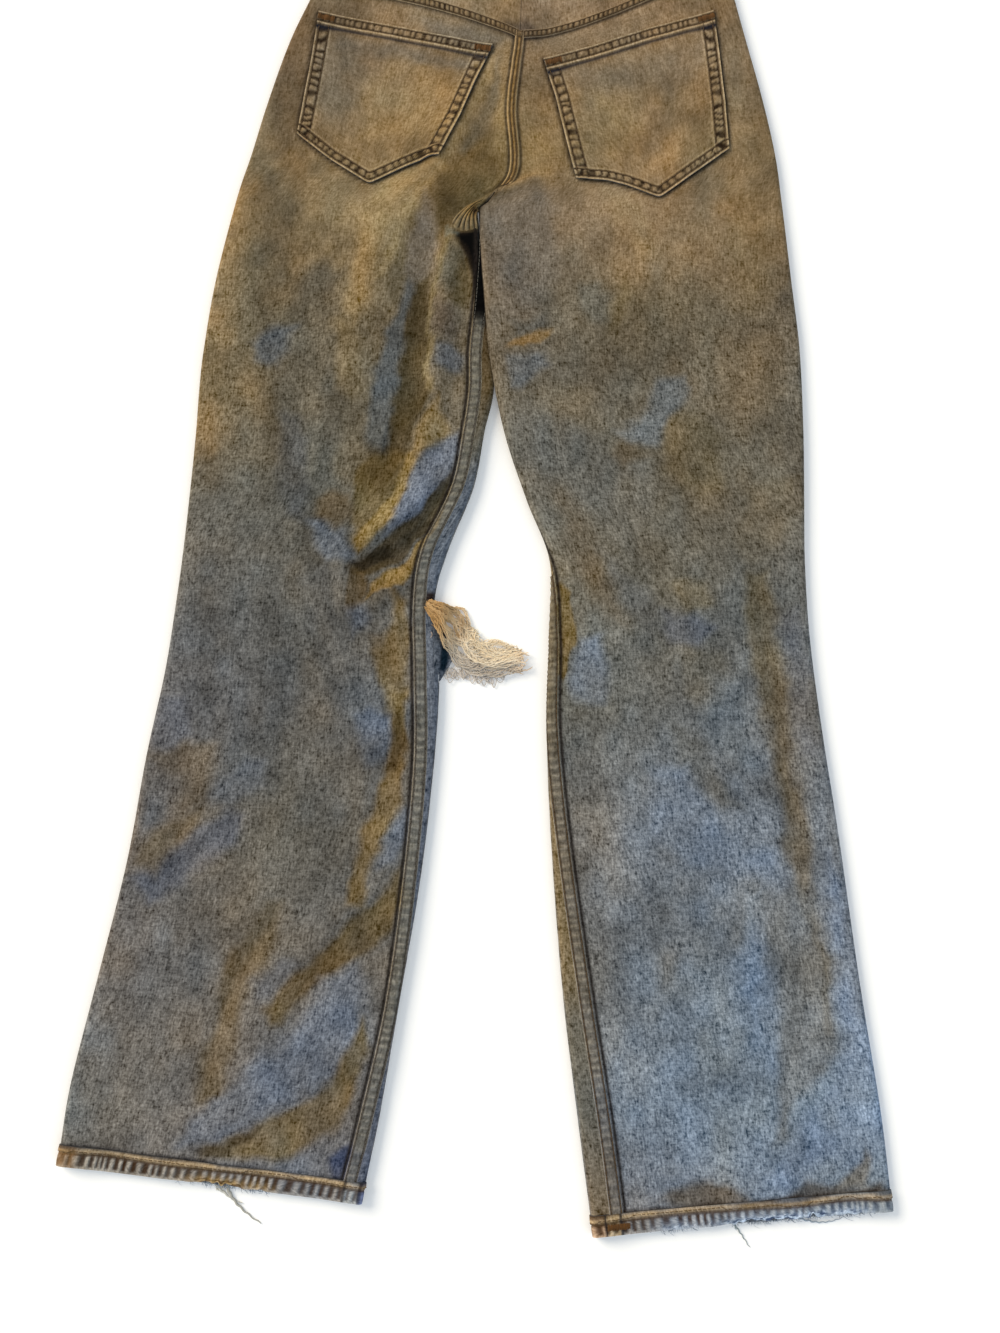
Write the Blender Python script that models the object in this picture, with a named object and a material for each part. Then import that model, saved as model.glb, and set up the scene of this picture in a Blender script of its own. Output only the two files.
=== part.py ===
"""Ripped straight-leg denim jeans, laid flat on their front with the back upward.

+Z is up, +Y runs to the waist and +X to the wearer's right. The origin is on the
surface that the jeans lie on, under the middle of their outline. The tables below are
in millimetres from the crotch point; everything that is built is in metres.
"""
import math
from collections import namedtuple

import bmesh
import bpy
import numpy as np

# Driving dimensions, in millimetres.
DENIM = 1.2            # thickness of one layer of cloth
HEM_CLOTH = 2.4        # the turned and stitched hem
BAND_CLOTH = 2.6       # the doubled and faced waistband
GAP = 0.3              # clear distance at every seam and between layers
SIDE_SEAM = 9.0        # the outer seam lies this far under the outer edge
BUTTON_RADIUS = 8.5
BUTTON_CAP = 3.0
LOOP_WIDTH = 12.0
LOOP_CLOTH = 2.4
POCKET_CLOTH = 1.2
BAND_LIFT = BUTTON_CAP + GAP          # the front waistband lies on its button
UNDERLAP_LIFT = BAND_CLOTH + GAP      # its hidden end lies on the buttoned end
SEAT_EDGE = 3.5        # radius of the outer edge above the crotch
EDGE_BLEND = 34.0      # an edge's roll settles into the panel over this width
CENTRE_X = -1.5        # middle of the outline, from the crotch point
CENTRE_Y = -253.0
QUARTER_EXTRA = math.pi / 2 - 1   # a quarter turn's length over its radius, less its plan width
SOFT_SLOPE = 0.35      # how much of a dip's depth is left where the layers would touch
SOFT_RISE = 0.9
FRONT_CUT = (-2.0, 5.1)       # heights of a cut that goes through the front layer only
POCKET_CUT = (2.0, 40.0)      # and of one that goes through what lies on the back

# One row for each station up the garment: outer edge, inner edge, how far the inseam
# lies up over the inner edge, the edges' radii, the height of the upper layer, and the
# number of mesh rows from here to the next station.
Leg = namedtuple("Leg", "name outer_x outer_y inner_x inner_y inseam outer_r inner_r rest rows")
LEFT_LEG = [
    Leg("hem", -306, -740, -84, -767, 16, 3.5, 3.5, 5.0, 1),
    Leg("hem top", -304, -725, -81, -752, 15, 3.5, 3.5, 5.0, 1),
    Leg("ankle", -298, -680, -71, -703, 13, 3.5, 3.5, 5.5, 2),
    Leg("shin", -281, -603, -58, -625, 9, 3.5, 3.5, 5.5, 2),
    Leg("calf", -263, -520, -43, -535, 12, 3.5, 3.5, 5.5, 2),
    Leg("below knee", -251, -440, -32, -445, 15, 3.5, 3.5, 5.5, 1),
    Leg("knee", -239, -375, -27, -378, 20, 3.5, 3.5, 5.5, 2),
    Leg("above knee", -232, -319, -26, -322, 22, 3.5, 3.5, 5.5, 2),
    Leg("low thigh", -228, -280, -20, -281, 20, 3.5, 3.5, 5.5, 2),
    Leg("mid thigh", -224, -230, -4, -230, 16, 3.5, 3.5, 5.5, 1),
    Leg("thigh", -221, -185, 7, -185, 18, 3.5, 3.5, 5.5, 2),
    Leg("upper thigh", -217, -118, 8, -118, 16, 3.5, 3.5, 5.5, 2),
    Leg("top thigh", -209, -60, 1, -60, 5, 3.5, 3.0, 5.5, 2),
    Leg("crotch", -194, 9, -1, 0, 0.5, 3.5, 2.5, 5.5, 1),
]
RIGHT_LEG = [
    Leg("hem", 303, -772, 86, -790, 23, 3.5, 3.5, 5.0, 1),
    Leg("hem top", 302, -757, 84, -775, 23, 3.5, 3.5, 5.0, 1),
    Leg("ankle", 297, -700, 76, -712, 23, 3.5, 3.5, 5.5, 2),
    Leg("shin", 285, -608, 65, -618, 20, 3.5, 3.5, 5.5, 2),
    Leg("calf", 273, -500, 57, -508, 13, 3.5, 3.5, 5.5, 2),
    Leg("below knee", 263, -420, 54, -422, 8, 3.5, 3.5, 5.5, 1),
    Leg("knee", 256, -350, 54, -350, 7, 3.5, 3.5, 5.5, 2),
    Leg("low thigh", 254, -290, 55, -290, 2, 3.5, 4.0, 5.5, 2),
    Leg("mid thigh", 255, -240, 38, -240, -6, 3.5, 4.5, 5.5, 2),
    Leg("thigh", 256, -185, 22, -185, -9, 3.5, 5.0, 5.5, 2),
    Leg("upper thigh", 255, -118, 11, -118, -10, 3.5, 5.5, 5.5, 2),
    Leg("top thigh", 250, -60, 4, -60, -7, 3.5, 5.0, 5.5, 2),
    Leg("crotch", 244, 9, 1, 0, -0.5, 3.5, 2.5, 5.5, 1),
]
# Above the crotch the halves meet at the centre back and the centre front. A level row
# crosses the centre without a peak, as a waistband does and a yoke seam does not.
Seat = namedtuple(
    "Seat", "name left_x left_y right_x right_y back_x back_y front_x front_y rest level rows")
SEAT = [
    Seat("crotch", -194, 9, 244, 9, 0, 0, 0, 0, 5.5, 0.0, 1),
    Seat("low seat", -183, 47, 240, 47, 27, 38, 7, 38, 5.5, 0.0, 1),
    Seat("mid seat", -170, 95, 231, 95, 29, 85, 17, 80, 5.5, 0.0, 2),
    Seat("high seat", -153, 148, 218, 150, 33, 124, 26, 118, 5.5, 0.0, 1),
    Seat("yoke seam", -130, 203, 203, 215, 36, 150, 31, 140, 6.0, 0.0, 2),
    Seat("waist seam", -124, 239, 197, 243, 37, 229, 38, 205, 9.2, 1.0, 2),
    Seat("waist top", -120, 279, 196, 284, 39, 269, 40, 245, 9.2, 1.0, 1),
]
CROTCH, LOW, MID, HIGH, YOKE, WAIST, TOP = range(len(SEAT))

# The largest folds of the upper layer. Each runs through three points; its ridge, or
# its trough where the height is negative, fades out over these widths on its two sides.
Fold = namedtuple("Fold", "name x0 y0 x1 y1 x2 y2 left right height")
FOLDS = [
    Fold("left thigh hump", -33, 23, -84, -52, -109, -177, 42, 34, 7),
    Fold("left thigh pillow", -26, -16, -38, -110, -64, -230, 24, 12, 8),
    Fold("pillow foot", -56, -200, -78, -268, -104, -288, 20, 12, 6),
    Fold("valley beside pillow", -44, -60, -62, -125, -95, -250, 12, 14, -5),
    Fold("crease behind knee", -16, -222, -58, -264, -104, -288, 10, 24, 9),
    Fold("pit under crease", -25, -254, -50, -284, -84, -295, 9, 9, -6),
    Fold("roll under crease", -29, -266, -56, -298, -90, -328, 16, 9, 6),
    Fold("knee rib", -107, -275, -104, -306, -100, -340, 14, 10, 5),
    Fold("knee hollow", -73, -350, -62, -420, -88, -525, 17, 17, -3),
    Fold("outer thigh trough", -150, -105, -144, -200, -110, -286, 24, 24, -2.5),
    Fold("calf trough", -66, -540, -101, -585, -139, -630, 16, 16, -3),
    Fold("shin trough", -139, -548, -180, -610, -203, -692, 10, 10, -2),
    Fold("ankle trough", -86, -676, -130, -702, -200, -728, 15, 13, -3),
    Fold("bulk of the fly", 6, 40, 24, 112, 37, 205, 32, 32, 2.8),
    Fold("bulk of the button", 37, 165, 39, 235, 41, 305, 52, 52, 3.6),
    Fold("crotch fold", 48, 16, 22, 12, 4, -4, 36, 10, 6),
    Fold("right inner roll", 12, 0, 12, -60, 24, -130, 40, 10, 4),
    Fold("right thigh crease", 16, -116, 40, -106, 64, -98, 8, 8, -2),
    Fold("right knee notch", 58, -300, 76, -340, 75, -400, 11, 11, -2),
    Fold("right outer trough", 216, -289, 234, -410, 242, -530, 14, 14, -3),
    Fold("right calf trough", 242, -525, 246, -610, 232, -690, 16, 16, -3),
]

# Corners of the back pockets, from the top corner at the side seam, going round.
LEFT_POCKET = [(-131, 170), (12, 141), (-3, 107), (-29, 46), (-42, 44), (-88, 21), (-118, 41),
               (-147, 64), (-143, 88), (-136, 128)]
RIGHT_POCKET = [(193, 171), (197, 135), (203, 51), (176, 33), (146, 9), (119, 20), (104, 24),
                (79, 25), (71, 58), (62, 97), (53, 129), (92, 139)]

# The rip across the left knee: distance across the front from the inner edge, and how
# far it gapes on each side of its middle line.
Rip = namedtuple("Rip", "across half_height")
RIP_Y = -354.0
RIP_EDGE_X = -27.0
RIP = [Rip(-10, 29), Rip(14, 30), Rip(45, 24), Rip(90, 17), Rip(124, 2)]
# Reach of the threads that hang out of it, past the inner edge.
FRINGE_REACH = [(-22, -327), (-12, -331), (2, -347), (2, -354), (19, -353), (35, -358), (41, -367),
                (37, -376), (12, -379), (-4, -382), (-20, -383)]
FRINGE_CLOTH = 2.6
FRINGE_LOW = 0.2
FRINGE_ROOT = 45       # the threads start this far across the front

# The mouth of a front pocket, and the facing seen in it, by the side seam.
MOUTH_WIDTH = 52.0
MOUTH_DEPTH = 82.0
MOUTH_PAST_SEAM = 4.0
FACING_WIDTH = 73.0

# The ends of the waistband past the centre front, and how the hidden one climbs.
BAND_OVERLAP = 13.0
BAND_UNDERLAP = 17.0
CLIMB_END = 44.0
CLIMB_WIDTH = 26.0

# Pieces of the fly, and half their widths.
SLIDER_CLOTH = 1.6
SLIDER_HALF = 4.0
ZIP_CLOTH = 0.8
ZIP_HALF = 13.0
SHIELD_LEFT = 14.0
SHIELD_RIGHT = 18.0

LEFT, RIGHT = -1, 1
LEG_TABLE = {LEFT: LEFT_LEG, RIGHT: RIGHT_LEG}


def clear_scene():
    for obj in list(bpy.data.objects):
        bpy.data.objects.remove(obj)


def material(name, colour, roughness, metallic=0.0):
    made = bpy.data.materials.new(name)
    made.use_nodes = True
    shader = made.node_tree.nodes["Principled BSDF"]
    shader.inputs["Base Color"].default_value = (*colour, 1.0)
    shader.inputs["Roughness"].default_value = roughness
    shader.inputs["Metallic"].default_value = metallic
    made.diffuse_color = (*colour, 1.0)
    return made


def smooth(t):
    t = np.clip(t, 0.0, 1.0)
    return t * t * (3.0 - 2.0 * t)


def through(values, at):
    """A smooth curve through evenly spaced values, read at a place given in steps."""
    last = len(values) - 1
    step = int(min(max(math.floor(at), 0), last - 1))
    t = at - step
    p1, p2 = values[step], values[step + 1]
    p0 = values[step - 1] if step else 2 * p1 - p2
    p3 = values[step + 2] if step + 2 <= last else 2 * p2 - p1
    cubic = 3 * (p1 - p2) + p3 - p0
    square = 2 * p0 - 5 * p1 + 4 * p2 - p3
    return p1 + 0.5 * t * (p2 - p0 + t * (square + t * cubic))


def fold_height(x, y):
    """Height that the folds add to the upper layer at these places of the plan."""
    total = np.zeros_like(x)
    for fold in FOLDS:
        start = np.array([fold.x0, fold.y0], float)
        end = np.array([fold.x2, fold.y2], float)
        control = 2.0 * np.array([fold.x1, fold.y1], float) - 0.5 * (start + end)
        nearest = np.full_like(x, np.inf)
        side = np.zeros_like(x)
        along = np.zeros_like(x)
        steps = 10
        ts = np.linspace(0.0, 1.0, steps + 1)[:, None]
        line = (1 - ts) ** 2 * start + 2 * ts * (1 - ts) * control + ts ** 2 * end
        for k in range(steps):
            run = line[k + 1] - line[k]
            dx, dy = x - line[k][0], y - line[k][1]
            t = np.clip((dx * run[0] + dy * run[1]) / (run @ run), 0.0, 1.0)
            away = np.hypot(dx - t * run[0], dy - t * run[1])
            closer = away < nearest
            nearest = np.where(closer, away, nearest)
            side = np.where(closer, run[0] * dy - run[1] * dx, side)
            along = np.where(closer, (k + t) / steps, along)
        width = np.where(side > 0, fold.left, fold.right)
        across = 0.5 + 0.5 * np.cos(np.pi * np.clip(nearest / width, 0.0, 1.0))
        ends = smooth(along / 0.3 + 0.25) * smooth((1 - along) / 0.3 + 0.25)
        total += fold.height * across * ends
    return total


class Half:
    """One half of the garment, as a flattened tube, and the places on its cloth.

    A station v runs from 0 at the hem to the crotch and on to the waist. The distance g
    round the tube starts at the inner edge, or at the centre back above the crotch, and
    runs over the top, round the outer edge and back underneath."""

    def __init__(self, side):
        self.side = side
        self.legs = LEG_TABLE[side]
        self.crotch = len(self.legs) - 1
        self.name = "left" if side == LEFT else "right"
        self.outer_x = [row.outer_x for row in self.legs]
        self.outer_y = [row.outer_y for row in self.legs]
        self.outer_x += [getattr(row, self.name + "_x") for row in SEAT[1:]]
        self.outer_y += [getattr(row, self.name + "_y") for row in SEAT[1:]]

    def leg(self, column, v):
        return through([getattr(row, column) for row in self.legs], v)

    def seat(self, column, v):
        return through([getattr(row, column) for row in SEAT], v - self.crotch)

    def ends(self, v, under, is_seat):
        """The inner and outer ends of the row at v, in plan, their radii, and the rest height and level."""
        outer = np.array([through(self.outer_x, v), through(self.outer_y, v)])
        if is_seat:
            column = "front" if under else "back"
            inner = np.array([self.seat(column + "_x", v), self.seat(column + "_y", v)])
            return inner, outer, 0.0, SEAT_EDGE, self.seat("rest", v), smooth(self.seat("level", v))
        inner = np.array([self.leg("inner_x", v), self.leg("inner_y", v)])
        return inner, outer, self.leg("inner_r", v), self.leg("outer_r", v), self.leg("rest", v), 0.0

    def spans(self, v, under, is_seat):
        """Distances from the inner apex to its roll's end, the outer roll's start and the outer apex."""
        inner, outer, inner_r, outer_r, _, _ = self.ends(v, under, is_seat)
        width = float(np.hypot(*(outer - inner)))
        roll = math.pi * inner_r / 2
        flat_end = roll + width - inner_r - outer_r
        return roll, flat_end, flat_end + math.pi * outer_r / 2

    def place(self, g, v, under=False, is_seat=False, cloth=DENIM):
        """Points of the cloth's middle surface on the row v. With under, g is measured the
        other way, from the inner edge underneath, and is positive there."""
        g = np.asarray(g, float)
        inner, outer, inner_r, outer_r, rest, level = self.ends(v, under, is_seat)
        roll, flat_end, apex = self.spans(v, under, is_seat)
        width = float(np.hypot(*(outer - inner)))
        half = cloth / 2
        from_outer = apex - g
        in_roll = (g < roll) & (not is_seat)
        out_roll = from_outer < math.pi * outer_r / 2
        inner_angle = np.clip(g / max(inner_r, 0.1), -math.pi / 2, math.pi / 2)
        outer_angle = np.clip(from_outer / outer_r, -math.pi / 2, math.pi / 2)
        past_inner = np.maximum(-g - math.pi * inner_r / 2, 0.0)
        past_outer = np.maximum(-from_outer - math.pi * outer_r / 2, 0.0)
        across = inner_r + g - roll
        across = np.where(in_roll, inner_r * (1 - np.cos(inner_angle)) + past_inner, across)
        across = np.where(out_roll, width - outer_r * (1 - np.cos(outer_angle)) - past_outer, across)
        part = across / width
        x = inner[0] + (outer[0] - inner[0]) * part
        bend = part * part * (2 - part)
        part_y = part * (1 - level) + bend * level
        y = inner[1] + (outer[1] - inner[1]) * part_y
        front = half + self.front_lift(v, is_seat) + 0 * x
        contact = front + cloth + GAP
        draped = rest + fold_height(x, y)
        back = np.maximum(draped, contact)
        back = np.maximum(back, contact + SOFT_SLOPE * (draped - contact) + SOFT_RISE)
        near_outer = 1 - smooth((width - across - outer_r) / EDGE_BLEND)
        near_inner = 0.0 if is_seat else 1 - smooth((across - inner_r) / EDGE_BLEND)
        outer_top = half + 2 * outer_r + self.front_lift(v, is_seat)
        back = back * (1 - near_outer) + np.maximum(outer_top, contact) * near_outer
        back = back * (1 - near_inner) + (half + 2 * inner_r) * near_inner
        flat = front if under else back
        other = back if under else front
        turn = -1.0 if under else 1.0
        z = flat
        middle_in = half + inner_r
        z = np.where(in_roll, middle_in + turn * inner_r * np.sin(inner_angle), z)
        z = np.where(in_roll & (past_inner > 0), other, z)
        outer_middle = (np.maximum(outer_top, contact) + front) / 2
        outer_rise = (np.maximum(outer_top, contact) - front) / 2
        z = np.where(out_roll, outer_middle + turn * outer_rise * np.sin(outer_angle), z)
        z = np.where(out_roll & (past_outer > 0), other, z)
        return np.stack([x, y, z], axis=-1)

    def front_lift(self, v, is_seat):
        """The front rises towards the waistband, which lies on its button."""
        if not is_seat:
            return 0.0
        return BAND_LIFT * float(np.clip((v - self.crotch - YOKE) / (WAIST - YOKE), 0.0, 1.0))

    def normals(self, g, v, under=False, is_seat=False, cloth=DENIM):
        """Unit normals that point out of the tube, from the neighbouring places."""
        low, high = (self.crotch, self.crotch + TOP) if is_seat else (0, self.crotch)
        step_g, step_v = 2.0, 0.12
        v0, v1 = max(v - step_v, low), min(v + step_v, high)
        where = (under, is_seat, cloth)
        along_g = self.place(g + step_g, v, *where) - self.place(g - step_g, v, *where)
        along_v = self.place(g, v1, *where) - self.place(g, v0, *where)
        normal = np.cross(along_v, along_g) * (-self.side)
        if under:
            normal = -normal
        length = np.linalg.norm(normal, axis=-1, keepdims=True)
        return normal / np.maximum(length, 1e-9)


def above_crotch(half, v):
    return v > half.crotch + 1e-6


def to_world(point):
    return tuple((point - (CENTRE_X, CENTRE_Y, 0)) * 0.001)


def stations(table, first, last, start=0):
    """Row places between two stations, each table row giving the count up to the next."""
    found = []
    for k in range(first, last):
        found += [start + k + i / table[k].rows for i in range(table[k].rows)]
    return found + [start + last]


def seam_gap(half, v, toward):
    """The station v, moved up (1) or down (-1) by half the seam's gap."""
    probe, step = [60.0], 0.05 * toward
    is_seat = above_crotch(half, v)
    moved = half.place(probe, v + step, is_seat=is_seat) - half.place(probe, v, is_seat=is_seat)
    return v + step * (GAP / 2) / float(np.linalg.norm(moved))


def wall(name, rows, thickness, finish, loop=False):
    """A closed wall about a grid of (points, normals) rows. With loop, each row closes on itself."""
    count = len(rows[0][0])
    mesh = bmesh.new()
    skins = []
    for side in (0.5, -0.5):
        skin = []
        for points, normals in rows:
            moved = points + normals * (side * thickness)
            skin.append([mesh.verts.new(to_world(point)) for point in moved])
        skins.append(skin)
    top, bottom = skins
    columns = count if loop else count - 1
    for r in range(len(rows) - 1):
        for c in range(columns):
            d = (c + 1) % count
            mesh.faces.new((top[r][c], top[r][d], top[r + 1][d]))
            mesh.faces.new((top[r][c], top[r + 1][d], top[r + 1][c]))
            mesh.faces.new((bottom[r][c], bottom[r + 1][d], bottom[r][d]))
            mesh.faces.new((bottom[r][c], bottom[r + 1][c], bottom[r + 1][d]))
    for c in range(columns):
        d = (c + 1) % count
        mesh.faces.new((top[0][d], top[0][c], bottom[0][c], bottom[0][d]))
        mesh.faces.new((top[-1][c], top[-1][d], bottom[-1][d], bottom[-1][c]))
    if not loop:
        for r in range(len(rows) - 1):
            mesh.faces.new((top[r][0], top[r + 1][0], bottom[r + 1][0], bottom[r][0]))
            mesh.faces.new((top[r + 1][-1], top[r][-1], bottom[r][-1], bottom[r + 1][-1]))
    if mesh.calc_volume(signed=True) < 0:
        bmesh.ops.reverse_faces(mesh, faces=mesh.faces[:])
    return as_object(name, mesh, finish)


def as_object(name, mesh, finish):
    """The mesh as an object of this finish, or as a hidden cutter where there is none."""
    data = bpy.data.meshes.new(name)
    mesh.to_mesh(data)
    mesh.free()
    obj = bpy.data.objects.new(name, data)
    bpy.context.scene.collection.objects.link(obj)
    if finish:
        data.materials.append(finish)
    else:
        obj.hide_render = True
        obj.display_type = "WIRE"
    return obj


def prism(name, outline, low, high, finish=None):
    """An upright slab over an outline of plan points. Without a finish it is a cutter."""
    mesh = bmesh.new()
    base = [mesh.verts.new(to_world(np.array([x, y, low]))) for x, y in outline]
    face = mesh.faces.new(base)
    grown = bmesh.ops.extrude_face_region(mesh, geom=[face])
    moved = [item for item in grown["geom"] if isinstance(item, bmesh.types.BMVert)]
    bmesh.ops.translate(mesh, verts=moved, vec=(0, 0, (high - low) * 0.001))
    bmesh.ops.recalc_face_normals(mesh, faces=mesh.faces[:])
    return as_object(name, mesh, finish)


def boolean(obj, cutter, operation="DIFFERENCE"):
    modifier = obj.modifiers.new(cutter.name, "BOOLEAN")
    modifier.operation = operation
    modifier.solver = "EXACT"
    modifier.object = cutter


# Mesh columns across a back piece and a front piece: by the inner edge, in the middle
# and by the outer edge, with the least width of the first group and the front's last.
BACK_INNER, BACK_MAIN, BACK_OUTER = 3, 10, 4
FRONT_INNER, FRONT_MAIN, FRONT_OUTER = 7, 3, 1
INNER_STRIP = 8.0
FRONT_OUTER_STRIP = 14.0


def inseam_place(half, v):
    """Distance of the inseam round the row. Past the inner edge's roll its arc is added."""
    inseam = half.leg("inseam", v)
    if inseam <= 0:
        return inseam
    return inseam + QUARTER_EXTRA * half.leg("inner_r", v) * min(inseam / 6.0, 1.0)


def back_columns(half, v, is_seat):
    """Distances round the row for a back piece, from the inseam or centre back to the side seam."""
    roll, flat_end, apex = half.spans(v, False, is_seat)
    start = GAP / 2 + (0.0 if is_seat else inseam_place(half, v))
    settled = max(roll, start + INNER_STRIP)
    inner = np.linspace(start, settled, BACK_INNER + 1)[:-1]
    main = np.linspace(settled, flat_end, BACK_MAIN + 1)[:-1]
    outer = np.linspace(flat_end, apex + SIDE_SEAM - GAP / 2, BACK_OUTER + 1)
    return np.concatenate([inner, main, outer])


def front_columns(half, v, is_seat):
    """Distances under the row for a front piece, from the inseam or centre front to the side seam."""
    roll, _, apex = half.spans(v, True, is_seat)
    start = GAP / 2 - (0.0 if is_seat else inseam_place(half, v))
    settled = max(roll, start + INNER_STRIP)
    seam = apex - SIDE_SEAM
    inner = np.linspace(start, settled, FRONT_INNER + 1)[:-1]
    main = np.linspace(settled, seam - FRONT_OUTER_STRIP, FRONT_MAIN + 1)[:-1]
    outer = np.linspace(seam - FRONT_OUTER_STRIP, seam - GAP / 2, FRONT_OUTER + 1)
    return np.concatenate([inner, main, outer])


def grid_rows(half, places, columns, under=False, moved=0.0, cloth=DENIM):
    """The (points, normals) rows of a piece, moved out of the cloth by some distance."""
    rows = []
    for v in places:
        is_seat = above_crotch(half, v)
        g = columns(half, v, is_seat)
        points = half.place(g, v, under, is_seat, cloth)
        normals = half.normals(g, v, under, is_seat, cloth)
        rows.append((points + normals * moved, normals))
    return rows


def leg_places(half):
    """Rows of a leg from the hem seam to the crotch."""
    places = stations(half.legs, 1, half.crotch)
    places[0] = seam_gap(half, 1.0, 1)
    return places


def build_back_panel(half, denim):
    places = leg_places(half)
    places += stations(SEAT, LOW, YOKE, half.crotch)
    places[-1] = seam_gap(half, half.crotch + YOKE, -1)
    return wall("back_panel_" + half.name, grid_rows(half, places, back_columns), DENIM, denim)


def build_yoke(half, denim):
    places = stations(SEAT, YOKE, WAIST, half.crotch)
    places[0] = seam_gap(half, places[0], 1)
    places[-1] = seam_gap(half, places[-1], -1)
    return wall("yoke_" + half.name, grid_rows(half, places, back_columns), DENIM, denim)


def build_back_pocket(half, outline, denim):
    """The pocket is the panel's own surface moved out by the cloth and a gap, within its outline."""
    places = stations(SEAT, CROTCH, YOKE, half.crotch)
    moved = (DENIM + POCKET_CLOTH) / 2 + GAP
    rows = grid_rows(half, places, back_columns, moved=moved)
    pocket = wall("back_pocket_" + half.name, rows, POCKET_CLOTH, denim)
    boolean(pocket, prism("pocket_outline_" + half.name, outline, *POCKET_CUT), "INTERSECT")
    return pocket


def pocket_mouth(half):
    """Outline of the cut for a front pocket, a quarter of an ellipse by the side seam."""
    v = half.crotch + WAIST
    seam = half.spans(v, True, True)[2] - SIDE_SEAM
    x, y, _ = half.place([seam + MOUTH_PAST_SEAM], v, True, True)[0]
    outline = []
    for k in range(9):
        angle = math.pi / 2 * k / 8
        across = MOUTH_WIDTH * math.cos(angle)
        outline.append((x - half.side * across, y + 3 - MOUTH_DEPTH * math.sin(angle)))
    outline.append((x + half.side * 3, y + 3 - MOUTH_DEPTH))
    outline.append((x + half.side * 3, y + 12))
    outline.append((x - half.side * MOUTH_WIDTH, y + 12))
    return outline


def build_front_panel(half, denim):
    places = leg_places(half)
    places += stations(SEAT, LOW, WAIST, half.crotch)
    places[-1] = seam_gap(half, half.crotch + WAIST, -1)
    rows = grid_rows(half, places, front_columns, under=True)
    panel = wall("front_panel_" + half.name, rows, DENIM, denim)
    boolean(panel, prism("pocket_mouth_" + half.name, pocket_mouth(half), *FRONT_CUT))
    return panel


def facing_columns(half, v, is_seat):
    seam = half.spans(v, True, is_seat)[2] - SIDE_SEAM
    return np.linspace(seam - FACING_WIDTH, seam - GAP / 2, 7)


def build_pocket_facing(half, denim):
    """The piece seen in the mouth of a front pocket, one layer further in."""
    places = [half.crotch + step for step in (HIGH - 0.3, HIGH, HIGH + 0.5, YOKE, YOKE + 0.5)]
    places.append(seam_gap(half, half.crotch + WAIST, -1))
    rows = grid_rows(half, places, facing_columns, under=True, moved=-(DENIM + GAP))
    return wall("pocket_facing_" + half.name, rows, DENIM, denim)


def build_hem(half, denim):
    """The turned hem, a band all round the end of the leg."""
    rows = []
    for v in (0.0, 0.5, seam_gap(half, 1.0, -1)):
        roll, flat_end, apex = half.spans(v, False, False)
        rolled = np.linspace(0, roll, 3)[:-1]
        g = np.concatenate([rolled, np.linspace(roll, flat_end, 11)[:-1], np.linspace(flat_end, apex, 3)])
        h = np.concatenate([rolled, np.linspace(roll, flat_end, 6)[:-1], np.linspace(flat_end, apex, 4)])
        points, normals = [], []
        for ring, under in ((g, False), (h[-2:0:-1], True)):
            points.append(half.place(ring, v, under, cloth=HEM_CLOTH))
            normals.append(half.normals(ring, v, under, cloth=HEM_CLOTH))
        rows.append((np.concatenate(points), np.concatenate(normals)))
    return wall("hem_" + half.name, rows, HEM_CLOTH, denim, loop=True)


def band_half_row(half, s, lap):
    """Points of the waistband's row from its end under the centre front, round the side,
    to the centre back. s runs from 0 at the seam to 1 at the top edge."""
    bottom = seam_gap(half, half.crotch + WAIST, 1)
    v = bottom + (half.crotch + TOP - bottom) * s
    where = (True, True, BAND_CLOTH)
    h = np.concatenate([[-lap, 0.0], front_columns(half, v, True)[1:-1]])
    front = half.place(h, v, *where)
    front[h < 0.0, 1] += 2 * GAP
    front_normals = half.normals(h, v, *where)
    if lap == BAND_UNDERLAP:
        front[:, 2] += UNDERLAP_LIFT * smooth((CLIMB_END - h) / CLIMB_WIDTH)
        front_normals[h < CLIMB_END] = (0, 0, -1)
    where = (False, True, BAND_CLOTH)
    g = np.append(back_columns(half, v, True)[:0:-1], 0.0)
    points = np.concatenate([front, half.place(g, v, *where)])
    return points, np.concatenate([front_normals, half.normals(g, v, *where)])


def build_waistband(left, right, denim):
    """One strip: from its buttoned end under the centre front, round the left side, over
    the back and round the right side to the end that lies inside."""
    rows = []
    for s in (0.0, 0.5, 1.0):
        points, normals = band_half_row(left, s, BAND_OVERLAP)
        other, other_normals = band_half_row(right, s, BAND_UNDERLAP)
        points = np.concatenate([points, other[-2::-1]])
        rows.append((points, np.concatenate([normals, other_normals[-2::-1]])))
    return wall("waistband", rows, BAND_CLOTH, denim)


def turned(name, profile, centre, finish=None, segments=24):
    """A round piece about an upright axis, from (radius, height) pairs that start and end on it."""
    mesh = bmesh.new()
    rings = []
    for radius, height in profile:
        count = segments if radius else 1
        angles = 2 * math.pi * np.arange(count) / count
        ring = np.stack([
            centre[0] + radius * np.cos(angles), centre[1] + radius * np.sin(angles),
            np.full(count, height)], axis=-1)
        rings.append([mesh.verts.new(to_world(point)) for point in ring])
    for low, high in zip(rings, rings[1:]):
        for k in range(segments):
            j = (k + 1) % segments
            corners = [low[k % len(low)], low[j % len(low)], high[j % len(high)], high[k % len(high)]]
            mesh.faces.new(list(dict.fromkeys(corners)))
    bmesh.ops.recalc_face_normals(mesh, faces=mesh.faces[:])
    return as_object(name, mesh, finish)


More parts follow.
